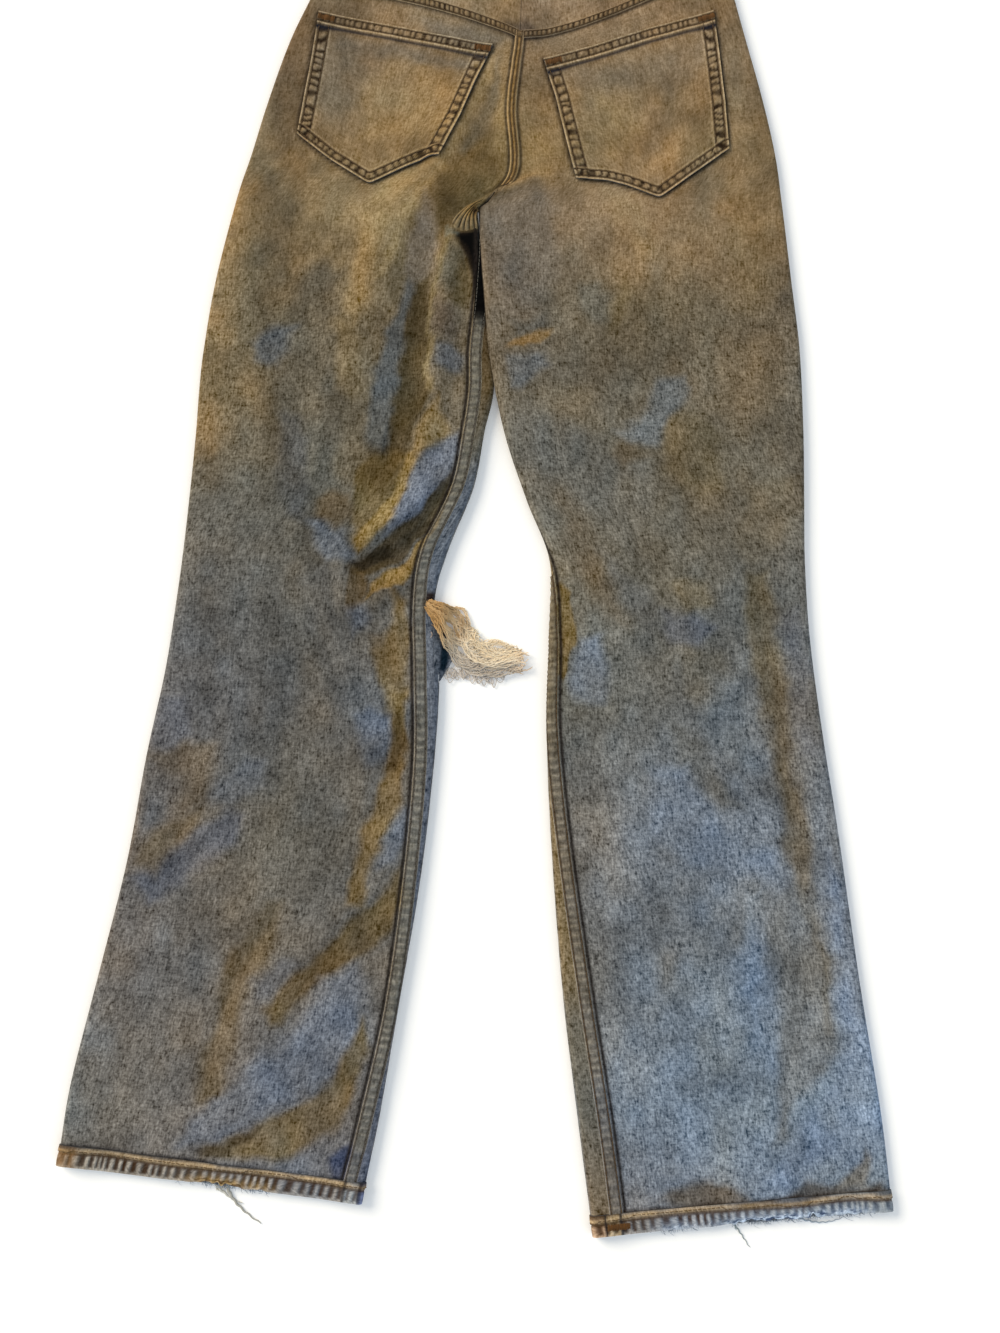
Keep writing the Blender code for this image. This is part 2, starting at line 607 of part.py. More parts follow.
def build_button(half, band, metal):
    """A shank button through both ends of the waistband."""
    centre = half.place([0.0], half.crotch + (WAIST + TOP) / 2, True, True, BAND_CLOTH)[0]
    tack = BAND_LIFT + 2 * BAND_CLOTH + 2 * GAP
    r, shank_r, tack_r = BUTTON_RADIUS, 2.4, 4.5
    cap = [(0, 0.0), (r - 1.2, 0.0), (r, 0.8), (r, BUTTON_CAP - 0.6), (r - 0.6, BUTTON_CAP)]
    shank = [(shank_r, BUTTON_CAP), (shank_r, tack)]
    head = [(tack_r, tack), (tack_r, tack + 0.9), (0, tack + 1.2)]
    turned("waist_button", cap + shank + head, centre, metal)
    hole_r, hole_low, hole_high = shank_r + GAP, 1.0, tack - 0.1
    hole = [(0, hole_low), (hole_r, hole_low), (hole_r, hole_high), (0, hole_high)]
    boolean(band, turned("button_hole", hole, centre, segments=12))


def build_belt_loop(name, half, distance, under, denim):
    """A folded strip sewn over the waistband, from under its seam to its top edge. It is
    at this distance from the centre back or the centre front."""
    rows = []
    moved = (BAND_CLOTH + LOOP_CLOTH) / 2 + GAP
    g = np.array([distance - LOOP_WIDTH / 2, distance + LOOP_WIDTH / 2])
    for step in (-0.16, 0.02, 0.5, 0.98):
        where = (half.crotch + WAIST + step, under, True, BAND_CLOTH)
        normals = half.normals(g, *where)
        rows.append((half.place(g, *where) + normals * moved, normals))
    return wall(name, rows, LOOP_CLOTH, denim)


def centre_strip(name, half, places, left_width, right_width, heights, thickness, finish):
    """A strip inside the centre front, its middle at these heights above the front panels."""
    rows = []
    upward = np.array([(0.0, 0.0, 1.0)] * 3)
    for v, height in zip(places, heights):
        x, y, z = half.place([0.0], v, True, True)[0] + (0, 0, height)
        rows.append((np.array([(x - left_width, y, z), (x, y, z), (x + right_width, y, z)]), upward))
    return wall(name, rows, thickness, finish)


def build_fly(half, tape, metal, denim):
    """The closed zip behind the centre front, its slider towards the flap, and the shield."""
    first, last = half.crotch + MID + 0.4, half.crotch + WAIST - 0.12
    slider_low, slider_high = last - 0.30, last - 0.16
    places = list(np.linspace(first, slider_low - 0.45, 4)) + [slider_low - 0.1, last]
    slider_height = DENIM / 2 + GAP + SLIDER_CLOTH / 2
    on_panel = DENIM / 2 + GAP + ZIP_CLOTH / 2
    on_slider = on_panel + SLIDER_CLOTH + GAP
    zip_heights = [on_panel] * 4 + [on_slider] * 2
    shield_heights = [height + (ZIP_CLOTH + DENIM) / 2 + GAP for height in zip_heights]
    centre_strip("zip_slider", half, [slider_low, slider_high], SLIDER_HALF, SLIDER_HALF,
                 [slider_height] * 2, SLIDER_CLOTH, metal)
    centre_strip("fly_zip", half, places, ZIP_HALF, ZIP_HALF, zip_heights, ZIP_CLOTH, tape)
    centre_strip("fly_shield", half, places, SHIELD_LEFT, SHIELD_RIGHT, shield_heights, DENIM, denim)


def rip_outline(rows, shrink):
    """Both edges of the rip, moved in by some distance, as upper and lower points."""
    heights = [max(row.half_height - shrink, 0.5) for row in rows]
    upper = [(RIP_EDGE_X - row.across, RIP_Y + height) for row, height in zip(rows, heights)]
    lower = [(RIP_EDGE_X - row.across, RIP_Y - height) for row, height in zip(rows, heights)]
    return upper, lower


def build_rip(panel, cotton):
    """The rip through the left front, and the reach of the threads that hang out of it."""
    upper, lower = rip_outline(RIP, 0.0)
    boolean(panel, prism("knee_rip", upper + lower[::-1], *FRONT_CUT))
    upper, lower = rip_outline([row for row in RIP if row.across <= FRINGE_ROOT], GAP)
    outline = upper[1:] + lower[:0:-1] + FRINGE_REACH[::-1]
    prism("knee_threads", outline, FRINGE_LOW, FRINGE_LOW + FRINGE_CLOTH, cotton)


clear_scene()
denim_top = material("worn_denim_seat", (0.24, 0.18, 0.11), 0.9)
denim_leg = material("worn_denim_legs", (0.15, 0.14, 0.12), 0.9)
denim_band = material("worn_denim_seams", (0.20, 0.15, 0.10), 0.9)
cotton = material("loose_cotton_threads", (0.72, 0.62, 0.45), 0.95)
zip_tape = material("zip_tape", (0.20, 0.17, 0.13), 0.8)
copper = material("aged_copper", (0.42, 0.24, 0.13), 0.4, 0.9)

left, right = Half(LEFT), Half(RIGHT)
for half, pocket in ((left, LEFT_POCKET), (right, RIGHT_POCKET)):
    build_back_panel(half, denim_leg)
    build_yoke(half, denim_top)
    build_back_pocket(half, pocket, denim_top)
    front_panel = build_front_panel(half, denim_leg)
    if half is left:
        build_rip(front_panel, cotton)
    build_pocket_facing(half, denim_top)
    build_hem(half, denim_band)
waistband = build_waistband(left, right, denim_band)
build_button(left, waistband, copper)
build_fly(left, zip_tape, copper, denim_leg)
build_belt_loop("belt_loop_centre", right, 0.0, False, denim_band)
for half in (left, right):
    build_belt_loop("belt_loop_back_" + half.name, half, 92.0, False, denim_band)
    build_belt_loop("belt_loop_front_" + half.name, half, 88.0, True, denim_band)
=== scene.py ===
"""Ripped straight-leg jeans of worn denim, laid flat on their front with the back upward.

Tables of the cut are in millimetres from the crotch point, with +Y towards the waist and
+X to the wearer's right. Meshes are in metres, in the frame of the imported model.
"""
import math
from collections import namedtuple

import bmesh
import bpy
import numpy as np
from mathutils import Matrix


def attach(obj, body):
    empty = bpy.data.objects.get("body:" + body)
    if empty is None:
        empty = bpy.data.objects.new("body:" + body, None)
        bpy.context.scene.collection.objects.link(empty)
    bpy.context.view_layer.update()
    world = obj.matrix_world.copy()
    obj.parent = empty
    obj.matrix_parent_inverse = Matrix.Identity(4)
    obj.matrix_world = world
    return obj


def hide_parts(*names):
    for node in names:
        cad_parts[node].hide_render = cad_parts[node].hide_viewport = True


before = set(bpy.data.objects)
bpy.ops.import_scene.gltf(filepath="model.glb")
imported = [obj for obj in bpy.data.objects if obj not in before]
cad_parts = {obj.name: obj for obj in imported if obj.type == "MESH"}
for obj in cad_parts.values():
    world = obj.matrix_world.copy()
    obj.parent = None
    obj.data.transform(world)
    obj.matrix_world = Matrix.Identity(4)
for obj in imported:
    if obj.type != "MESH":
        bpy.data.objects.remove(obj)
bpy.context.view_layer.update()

# ---------------------------------------------------------------- the place they lie in
# A plain white floor under soft studio light, seen from above the thighs and tilted
# slightly towards the waist. The light from the waist's left is warm, the rest is cool.
CAMERA_HEIGHT = 1.07
CAMERA_TILT = math.radians(8)
CAMERA_LENS = 37.8

scene = bpy.context.scene
scene.view_settings.view_transform = "Standard"
scene.view_settings.look = "None"

camera = bpy.data.objects.new("camera", bpy.data.cameras.new("camera"))
camera.data.lens = CAMERA_LENS
camera.location = (0.0192, -0.2683, CAMERA_HEIGHT)
camera.rotation_euler = (CAMERA_TILT, 0, 0)
scene.collection.objects.link(camera)
scene.camera = camera

# Direction that each light comes from, its strength, colour and how wide it is.
Light = namedtuple("Light", "name x y z strength colour width")
LIGHTS = [
    Light("warm_window", -0.80, 0.55, 0.62, 3.0, (1.0, 0.90, 0.74), 34),
    Light("cool_sky", 0.75, -0.60, 0.80, 0.85, (0.66, 0.83, 1.0), 60),
]
for light in LIGHTS:
    lamp = bpy.data.objects.new(light.name, bpy.data.lights.new(light.name, "SUN"))
    lamp.data.energy = light.strength
    lamp.data.color = light.colour
    lamp.data.angle = math.radians(light.width)
    lamp.location = (light.x, light.y, light.z)
    lamp.rotation_euler = (-lamp.location).to_track_quat("-Z", "Y").to_euler()
    scene.collection.objects.link(lamp)

world = bpy.data.worlds.new("room")
world.use_nodes = True
world.node_tree.nodes["Background"].inputs["Color"].default_value = (0.93, 0.97, 1.0, 1.0)
world.node_tree.nodes["Background"].inputs["Strength"].default_value = 0.42
scene.world = world

floor_mesh = bpy.data.meshes.new("floor")
floor_mesh.from_pydata([(-4, -4, 0), (4, -4, 0), (4, 4, 0), (-4, 4, 0)], [], [(0, 1, 2, 3)])
floor = bpy.data.objects.new("floor", floor_mesh)
floor.location.z = -0.0004
scene.collection.objects.link(floor)
white = bpy.data.materials.new("white_floor")
white.use_nodes = True
shader = white.node_tree.nodes["Principled BSDF"]
shader.inputs["Base Color"].default_value = (0.93, 0.93, 0.925, 1)
shader.inputs["Roughness"].default_value = 0.8
shader.inputs["Emission Color"].default_value = (1, 1, 1, 1)
shader.inputs["Emission Strength"].default_value = 0.16
floor_mesh.materials.append(white)

# ---------------------------------------------------------------- the back of each leg
# The back panels are the two largest pieces: right-hand twill cotton denim, stone-washed
# until the indigo is thin on the seat and thighs. Their tan there and blue-grey towards the hems
# is partly that wash and partly painted light: a warm cast towards the waist, a cool one by the hems.
# Each is sewn to its front along the inseam and the side seam, and lies over it here.
DENIM = 1.2            # one layer of cloth
HEM_CLOTH = 2.4
BAND_CLOTH = 2.6
GAP = 0.3
SIDE_SEAM = 9.0        # the side seam lies this far under the outer edge
BAND_LIFT = 3.3        # the front waistband lies on its button
UNDERLAP_LIFT = 2.9
SEAT_EDGE = 3.5
EDGE_BLEND = 34.0
CENTRE_X = -1.5        # middle of the outline, from the crotch point
CENTRE_Y = -253.0
QUARTER_EXTRA = math.pi / 2 - 1   # a quarter turn's length over its radius, less its plan width
SOFT_SLOPE = 0.35
YOKE_BOW = {"left": 7.0, "right": -7.0}   # the yoke seams bow off a straight line
SOFT_RISE = 0.9

# One row for each station up the leg: outer edge, inner edge, how far the inseam lies up
# over the inner edge, the edges' radii and the height of the upper layer.
Leg = namedtuple("Leg", "name outer_x outer_y inner_x inner_y inseam outer_r inner_r rest")
LEFT_LEG = [
    Leg("hem", -306, -740, -84, -767, 16, 3.5, 3.5, 5.0),
    Leg("hem top", -304, -725, -81, -752, 15, 3.5, 3.5, 5.0),
    Leg("ankle", -298, -680, -71, -703, 13, 3.5, 3.5, 5.5),
    Leg("shin", -281, -603, -58, -625, 9, 3.5, 3.5, 5.5),
    Leg("calf", -263, -520, -43, -535, 12, 3.5, 3.5, 5.5),
    Leg("below knee", -251, -440, -33, -445, 14.5, 3.5, 3.5, 5.5),
    Leg("knee", -239, -375, -29.5, -378, 18.5, 3.5, 3.5, 5.5),
    Leg("above knee", -232, -319, -33.5, -322, 15.5, 3.5, 3.5, 5.5),
    Leg("low thigh", -228, -280, -23.5, -281, 19.5, 3.5, 3.5, 5.5),
    Leg("mid thigh", -224, -230, -3.5, -230, 16.5, 3.5, 3.5, 5.5),
    Leg("thigh", -221, -185, 5, -185, 16, 3.5, 3.5, 5.5),
    Leg("fork", -219.5, -150, 12.5, -150, 19, 3.5, 3.5, 5.5),
    Leg("upper thigh", -217, -118, 10.5, -118, 16.5, 3.5, 3.5, 5.5),
    Leg("top thigh", -209, -60, 4.5, -60, 5.5, 3.5, 3.0, 5.5),
    Leg("crotch", -194, 9, -1, 0, 0.5, 3.5, 2.5, 5.5),
]
RIGHT_LEG = [
    Leg("hem", 303, -772, 86, -790, 23, 3.5, 3.5, 5.0),
    Leg("hem top", 302, -757, 84, -775, 23, 3.5, 3.5, 5.0),
    Leg("ankle", 297, -700, 76, -712, 23, 3.5, 3.5, 5.5),
    Leg("shin", 285, -608, 65, -618, 20, 3.5, 3.5, 5.5),
    Leg("calf", 273, -500, 57, -508, 13, 3.5, 3.5, 5.5),
    Leg("below knee", 263, -420, 54, -422, 8, 3.5, 3.5, 5.5),
    Leg("knee", 256, -350, 56.5, -350, 6, 3.5, 3.5, 5.5),
    Leg("low thigh", 254, -290, 57, -290, 1.5, 3.5, 4.0, 5.5),
    Leg("mid thigh", 255, -240, 39, -240, -6, 3.5, 4.5, 5.5),
    Leg("thigh", 256, -185, 21.5, -185, -9, 3.5, 5.0, 5.5),
    Leg("upper thigh", 255, -118, 9, -118, -10, 3.5, 5.5, 5.5),
    Leg("top thigh", 250, -60, 4, -60, -7, 3.5, 5.0, 5.5),
    Leg("crotch", 244, 9, 1, 0, -0.5, 3.5, 2.5, 5.5),
]
# Above the crotch the halves meet at the centre back and the centre front.
Seat = namedtuple("Seat", "name left_x left_y right_x right_y back_x back_y front_x front_y rest level")
SEAT = [
    Seat("crotch", -194, 9, 244, 9, 0, 0, 0, 0, 5.5, 0.0),
    Seat("low seat", -183, 47, 240, 47, 28, 30, 7, 38, 5.5, 0.0),
    Seat("mid seat", -170, 95, 231, 95, 27, 85, 17, 80, 5.5, 0.0),
    Seat("high seat", -153, 148, 218, 150, 31, 124, 26, 118, 5.5, 0.0),
    Seat("yoke seam", -130, 203, 203, 215, 34, 150, 31, 140, 6.0, 0.0),
    Seat("waist seam", -124, 239, 197, 243, 37, 229, 38, 205, 9.2, 1.0),
    Seat("waist top", -120, 279, 196, 284, 39, 269, 40, 245, 9.2, 1.0),
]
HIGH, YOKE, WAIST, TOP = range(3, len(SEAT))   # rows of SEAT
LEFT, RIGHT = -1, 1
LEG_TABLE = {LEFT: LEFT_LEG, RIGHT: RIGHT_LEG}

# Folds of the upper layer. Each runs through three points; its ridge, or its trough where
# the height is negative, fades out over these widths on its two sides.
Fold = namedtuple("Fold", "name x0 y0 x1 y1 x2 y2 left right height")
FOLDS = [
    Fold("left thigh hump", -33, 23, -84, -52, -109, -177, 42, 34, 7),
    Fold("left thigh pillow", -22, -18, -30, -110, -50, -225, 20, 13, 7),
    Fold("pillow foot", -62, -205, -76, -240, -94, -268, 14, 14, 3),
    Fold("valley beside pillow", -40, -52, -51, -125, -74, -235, 9, 11, -5),
    Fold("crease behind knee", -14, -206, -50, -246, -102, -280, 10, 22, 6),
    Fold("pit under crease", -22, -236, -56, -278, -96, -289, 9, 9, -5),
    Fold("roll under crease", -26, -256, -56, -302, -90, -330, 13, 9, 4),
    Fold("knee rib", -107, -275, -104, -306, -100, -340, 14, 10, 5),
    Fold("knee hollow", -73, -350, -62, -420, -88, -525, 17, 17, -3),
    Fold("outer thigh trough", -150, -105, -144, -200, -110, -286, 24, 24, -2.5),
    Fold("calf trough", -66, -540, -101, -585, -139, -630, 16, 16, -3),
    Fold("shin trough", -139, -548, -180, -610, -203, -692, 10, 10, -2),
    Fold("ankle trough", -86, -676, -130, -702, -200, -728, 15, 13, -3),
    Fold("bulk of the fly", 6, 40, 24, 112, 37, 205, 32, 32, 2.8),
    Fold("bulk of the button", 37, 165, 39, 235, 41, 305, 52, 52, 3.6),
    Fold("crotch fold", 50, 27, 26, 16, 2, 4, 36, 6, 6.5),
    Fold("right inner roll", 12, 0, 12, -60, 24, -130, 40, 10, 4),
    Fold("right thigh crease", 16, -116, 40, -106, 64, -98, 8, 8, -2),
    Fold("right knee notch", 58, -300, 76, -340, 75, -400, 11, 11, -2),
    Fold("right outer trough", 216, -289, 234, -410, 242, -530, 14, 14, -3),
    Fold("right calf trough", 242, -525, 246, -610, 232, -690, 16, 16, -3),
]
# Smaller creases between them.
CREASES = [
    Fold("pit under the crotch", -13, -16, -9, -36, -2, -66, 8, 6, -12),
    Fold("hip drag", -60, 10, -120, -40, -170, -110, 16, 20, 1.4),
    Fold("hip dip", -150, 10, -165, -60, -150, -130, 22, 20, -1.6),
    Fold("outer thigh ridge", -185, -60, -195, -150, -178, -260, 16, 16, 1.6),
    Fold("back thigh crease", -120, -90, -122, -160, -128, -240, 9, 9, 1.2),
    Fold("knee flank crease", -150, -250, -130, -300, -112, -350, 12, 9, 1.6),
    Fold("knee flank dip", -132, -300, -118, -350, -92, -410, 12, 12, -1.6),
    Fold("knee crease", -66, -318, -60, -360, -62, -410, 8, 8, 2.0),
    Fold("low knee pinch", -52, -392, -66, -424, -92, -440, 8, 7, 1.6),
    Fold("outer calf ridge", -186, -420, -214, -470, -252, -512, 12, 14, 1.8),
    Fold("outer calf dip", -172, -474, -204, -512, -246, -540, 9, 14, -1.6),
    Fold("calf ridge", -60, -490, -72, -540, -110, -560, 12, 12, 1.8),
    Fold("low calf ridge", -92, -610, -124, -648, -180, -680, 16, 14, 2.2),
    Fold("ankle ridge", -96, -650, -86, -690, -60, -720, 12, 10, 1.6),
    Fold("hem ridge left", -110, -728, -170, -738, -240, -742, 8, 8, 1.2),
    Fold("right hip drag", 100, 20, 134, -40, 128, -110, 12, 12, 1.4),
    Fold("right seat drag", 70, 20, 104, -30, 110, -90, 14, 14, -1.2),
    Fold("right thigh ridge", 120, -150, 150, -180, 170, -240, 20, 24, 1.5),
    Fold("right thigh dip", 90, -190, 112, -250, 150, -330, 18, 18, -1.8),
    Fold("right knee ridge", 70, -260, 110, -330, 160, -400, 14, 14, 1.6),
    Fold("right knee dip", 130, -350, 172, -420, 214, -490, 16, 16, -1.6),
    Fold("right calf ridge", 180, -440, 206, -540, 216, -640, 18, 14, 2.2),
    Fold("right shin dip", 130, -520, 152, -580, 160, -650, 18, 18, -1.4),
    Fold("right low ridge", 262, -520, 268, -620, 262, -700, 10, 14, 1.6),
    Fold("right hem wave a", 118, -758, 150, -748, 186, -756, 10, 8, 2.0),
    Fold("right hem wave b", 196, -762, 228, -750, 258, -758, 10, 8, 1.6),
    Fold("right hem wave c", 250, -750, 280, -732, 300, -728, 12, 10, 1.8),
    Fold("right ankle drape", 225, -640, 232, -700, 262, -742, 12, 12, -1.4),
    Fold("pocket corner drag", -34, 46, -48, 26, -66, 10, 8, 8, 1.2),
    Fold("seat valley", 20, 118, 4, 76, -20, 34, 12, 12, -2.4),
    Fold("seat lit ridge", 4, 126, -14, 80, -44, 28, 10, 10, 2.6),
]


def smooth(t):
    t = np.clip(t, 0.0, 1.0)
    return t * t * (3.0 - 2.0 * t)


def through(values, at):
    """A smooth curve through evenly spaced values, read at places given in steps."""
    values = np.asarray(values, float)
    at = np.asarray(at, float)
    last = len(values) - 1
    step = np.clip(np.floor(at), 0, last - 1).astype(int)
    t = at - step
    p1, p2 = values[step], values[step + 1]
    p0 = np.where(step > 0, values[np.maximum(step - 1, 0)], 2 * p1 - p2)
    p3 = np.where(step + 2 <= last, values[np.minimum(step + 2, last)], 2 * p2 - p1)
    cubic = 3 * (p1 - p2) + p3 - p0
    square = 2 * p0 - 5 * p1 + 4 * p2 - p3
    return p1 + 0.5 * t * (p2 - p0 + t * (square + t * cubic))


def bent(t, start, middle, end):
    """Places on a smooth curve from start to end, through middle halfway."""
    control = 2 * middle - 0.5 * (start + end)
    return (1 - t) ** 2 * start + 2 * t * (1 - t) * control + t ** 2 * end


def beside(row, x, y):
    """Distance of plan places from a row's curve, the side they lie on and how far along it."""
    steps = 10
    ends = np.array([(row.x0, row.y0), (row.x1, row.y1), (row.x2, row.y2)], float)
    line = bent(np.linspace(0.0, 1.0, steps + 1)[:, None], *ends)
    nearest = np.full(x.shape, np.inf)
    side = np.zeros(x.shape)
    along = np.zeros(x.shape)
    for k in range(steps):
        run = line[k + 1] - line[k]
        dx, dy = x - line[k][0], y - line[k][1]
        t = np.clip((dx * run[0] + dy * run[1]) / (run @ run), 0.0, 1.0)
        away = np.hypot(dx - t * run[0], dy - t * run[1])
        closer = away < nearest
        nearest = np.where(closer, away, nearest)
        side = np.where(closer, run[0] * dy - run[1] * dx, side)
        along = np.where(closer, (k + t) / steps, along)
    return nearest, side, along


def strength_of(row, x, y):
    """From 1 on the row's curve to 0 at its widths and past its ends."""
    margin = max(row.left, row.right)
    low_x, high_x = min(row.x0, row.x1, row.x2) - margin, max(row.x0, row.x1, row.x2) + margin
    low_y, high_y = min(row.y0, row.y1, row.y2) - margin, max(row.y0, row.y1, row.y2) + margin
    inside = (x > low_x) & (x < high_x) & (y > low_y) & (y < high_y)
    found = np.zeros(x.shape)
    if inside.any():
        nearest, side, along = beside(row, x[inside], y[inside])
        width = np.where(side > 0, row.left, row.right)
        across = 0.5 + 0.5 * np.cos(np.pi * np.clip(nearest / width, 0.0, 1.0))
        found[inside] = across * smooth(along / 0.3 + 0.25) * smooth((1 - along) / 0.3 + 0.25)
    return found


def inside_outline(outline, soft, x, y):
    """From 1 inside a plan outline to 0 outside it, fading over soft millimetres."""
    corners = np.reshape(outline, (-1, 2)).astype(float)
    low, high = corners.min(0) - soft, corners.max(0) + soft
    near = (x > low[0]) & (x < high[0]) & (y > low[1]) & (y < high[1])
    found = np.zeros(x.shape)
    if near.any():
        px, py = x[near], y[near]
        away, odd = np.full(px.shape, np.inf), np.zeros(px.shape, bool)
        for (ax, ay), (bx, by) in zip(corners, np.roll(corners, -1, axis=0)):
            t = ((px - ax) * (bx - ax) + (py - ay) * (by - ay)) / ((bx - ax) ** 2 + (by - ay) ** 2)
            t = np.clip(t, 0.0, 1.0)
            away = np.minimum(away, np.hypot(px - ax - t * (bx - ax), py - ay - t * (by - ay)))
            if ay != by:
                odd ^= ((ay > py) != (by > py)) & (px < ax + (py - ay) * (bx - ax) / (by - ay))
        found[near] = smooth(0.5 + np.where(odd, away, -away) / soft)
    return found


def waves(x, y, size, seed):
    """Smooth random waves between -1 and 1, one about every size millimetres."""
    i, j = np.floor(x / size), np.floor(y / size)
    u, w = smooth(x / size - i), smooth(y / size - j)
    corners = []
    for a in (0, 1):
        for b in (0, 1):
            mixed = np.sin((i + a) * 127.1 + (j + b) * 311.7 + seed * 74.7) * 43758.5453
            corners.append(2 * (mixed - np.floor(mixed)) - 1)
    low = corners[0] * (1 - w) + corners[1] * w
    high = corners[2] * (1 - w) + corners[3] * w
    return low * (1 - u) + high * u


def fold_height(x, y):
    """Height that folds, creases and the cloth's own unevenness add to the upper layer."""
    total = 0.45 * waves(x, y, 46, 1) + 0.28 * waves(x, y, 19, 2) + 0.14 * waves(x, y, 9, 3)
    for fold in FOLDS + CREASES:
        total = total + fold.height * strength_of(fold, x, y)
    return total


class Half:
    """One half of the garment, as a flattened tube, and the places on its cloth.

    A station v runs from 0 at the hem to the crotch and on to the waist. The distance g
    round the tube starts at the inner edge, or at the centre back above the crotch, and
    runs over the top, round the outer edge and back underneath. Arrays go in and out."""

    def __init__(self, side):
        self.side = side
        self.name = "left" if side == LEFT else "right"
        self.legs = LEG_TABLE[side]
        self.crotch = len(self.legs) - 1
        self.outer_x = [row.outer_x for row in self.legs]
        self.outer_y = [row.outer_y for row in self.legs]
        self.outer_x += [getattr(row, self.name + "_x") for row in SEAT[1:]]
        self.outer_y += [getattr(row, self.name + "_y") for row in SEAT[1:]]

    def leg(self, column, v):
        return through([getattr(row, column) for row in self.legs], np.minimum(v, self.crotch))

    def seat(self, column, v):
        return through([getattr(row, column) for row in SEAT], np.maximum(v - self.crotch, 0))

    def on_seat(self, v):
        return v > self.crotch + 1e-6

    def row(self, v, under):
        """The inner and outer ends of the rows at v, in plan, and their other values."""
        seat = self.on_seat(v)
        column = "front" if under else "back"
        fading = 2.5 * (1 - smooth((v - self.crotch) / 0.6))
        return dict(
            inner_x=np.where(seat, self.seat(column + "_x", v), self.leg("inner_x", v)),
            inner_y=np.where(seat, self.seat(column + "_y", v), self.leg("inner_y", v)),
            outer_x=through(self.outer_x, v),
            outer_y=through(self.outer_y, v),
            inner_r=np.where(seat, fading, self.leg("inner_r", v)),
            outer_r=np.where(seat, SEAT_EDGE, self.leg("outer_r", v)),
            rest=np.where(seat, self.seat("rest", v), self.leg("rest", v)),
            level=np.where(seat, smooth(self.seat("level", v)), 0.0))

    def spans(self, v, under=False):
        """Distances from the inner apex to its roll's end, the outer roll's start and the outer apex."""
        row = self.row(np.asarray(v, float), under)
        width = np.hypot(row["outer_x"] - row["inner_x"], row["outer_y"] - row["inner_y"])
        roll = math.pi * row["inner_r"] / 2
        flat_end = roll + width - row["inner_r"] - row["outer_r"]
        return roll, flat_end, flat_end + math.pi * row["outer_r"] / 2

    def front_lift(self, v):
        """The front rises towards the waistband, which lies on its button."""
        return BAND_LIFT * np.clip((v - self.crotch - YOKE) / (WAIST - YOKE), 0.0, 1.0)

    def place(self, g, v, under=False, cloth=DENIM):
        """Points of the cloth's middle surface. With under, g is measured the other way, from
        the inner edge underneath, and is positive there."""
        g, v = np.broadcast_arrays(np.asarray(g, float), np.asarray(v, float))
        row = self.row(v, under)
        roll, _, apex = self.spans(v, under)
        inner_x, inner_y, inner_r, outer_r = row["inner_x"], row["inner_y"], row["inner_r"], row["outer_r"]
        width = np.hypot(row["outer_x"] - inner_x, row["outer_y"] - inner_y)
        half = cloth / 2
        from_outer = apex - g
        in_roll = (g < roll) & (inner_r > 0.05)
        out_roll = from_outer < math.pi * outer_r / 2
        inner_angle = np.clip(g / np.maximum(inner_r, 0.1), -math.pi / 2, math.pi / 2)
        outer_angle = np.clip(from_outer / outer_r, -math.pi / 2, math.pi / 2)
        past_inner = np.maximum(-g - math.pi * inner_r / 2, 0.0)
        past_outer = np.maximum(-from_outer - math.pi * outer_r / 2, 0.0)
        across = inner_r + g - roll
        across = np.where(in_roll, inner_r * (1 - np.cos(inner_angle)) + past_inner, across)
        across = np.where(out_roll, width - outer_r * (1 - np.cos(outer_angle)) - past_outer, across)
        part = across / width
        x = inner_x + (row["outer_x"] - inner_x) * part
        bend = part * part * (2 - part)
        part_y = part * (1 - row["level"]) + bend * row["level"]
        y = inner_y + (row["outer_y"] - inner_y) * part_y
        if not under:
            inside = np.clip(part, 0, 1)
            near_seam = np.exp(-((v - self.crotch - YOKE) / 0.45) ** 2)
            y = y + YOKE_BOW[self.name] * 6.75 * inside * (1 - inside) ** 2 * near_seam
        front = half + self.front_lift(v)
        contact = front + cloth + GAP
        draped = row["rest"] + fold_height(x, y)
        back = np.maximum(draped, contact)
        back = np.maximum(back, contact + SOFT_SLOPE * (draped - contact) + SOFT_RISE)
        near_outer = 1 - smooth((width - across - outer_r) / EDGE_BLEND)
        near_inner = np.where(inner_r > 0.05, 1 - smooth((across - inner_r) / EDGE_BLEND), 0.0)
        near_inner = near_inner * (1 - smooth((v - self.crotch) / 0.6))
        outer_top = np.maximum(half + 2 * outer_r + self.front_lift(v), contact)
        back = back * (1 - near_outer) + outer_top * near_outer
        back = back * (1 - near_inner) + (half + 2 * inner_r) * near_inner
        flat, other = (front, back) if under else (back, front)
        turn = -1.0 if under else 1.0
        middle_in = half + inner_r
        z = np.where(in_roll, middle_in + turn * inner_r * np.sin(inner_angle), flat)
        z = np.where(in_roll & (past_inner > 0), other, z)
        outer_middle = (outer_top + front) / 2
        outer_rise = (outer_top - front) / 2
        z = np.where(out_roll, outer_middle + turn * outer_rise * np.sin(outer_angle), z)
        z = np.where(out_roll & (past_outer > 0), other, z)
        return np.stack([x, y, z], axis=-1)

    def inseam(self, v):
        """Distance of the inseam round the row. Past the inner edge's roll its arc is added."""
        inseam = self.leg("inseam", v)
        arc = QUARTER_EXTRA * self.leg("inner_r", v) * np.clip(inseam / 6.0, 0.0, 1.0)
        return np.where(self.on_seat(v), 0.0, inseam + arc)

    def stations(self, low, high, pace):
        """Stations between two others, about this many millimetres apart down the middle."""
        v = np.linspace(low, high, 400)
        _, flat_end, _ = self.spans(v)
        line = self.place(flat_end * 0.5, v)[:, :2]
        length = np.concatenate([[0], np.cumsum(np.hypot(*np.diff(line, axis=0).T))])
        count = max(int(round(length[-1] / pace)), 1)
        return np.interp(np.linspace(0, length[-1], count + 1), length, v)


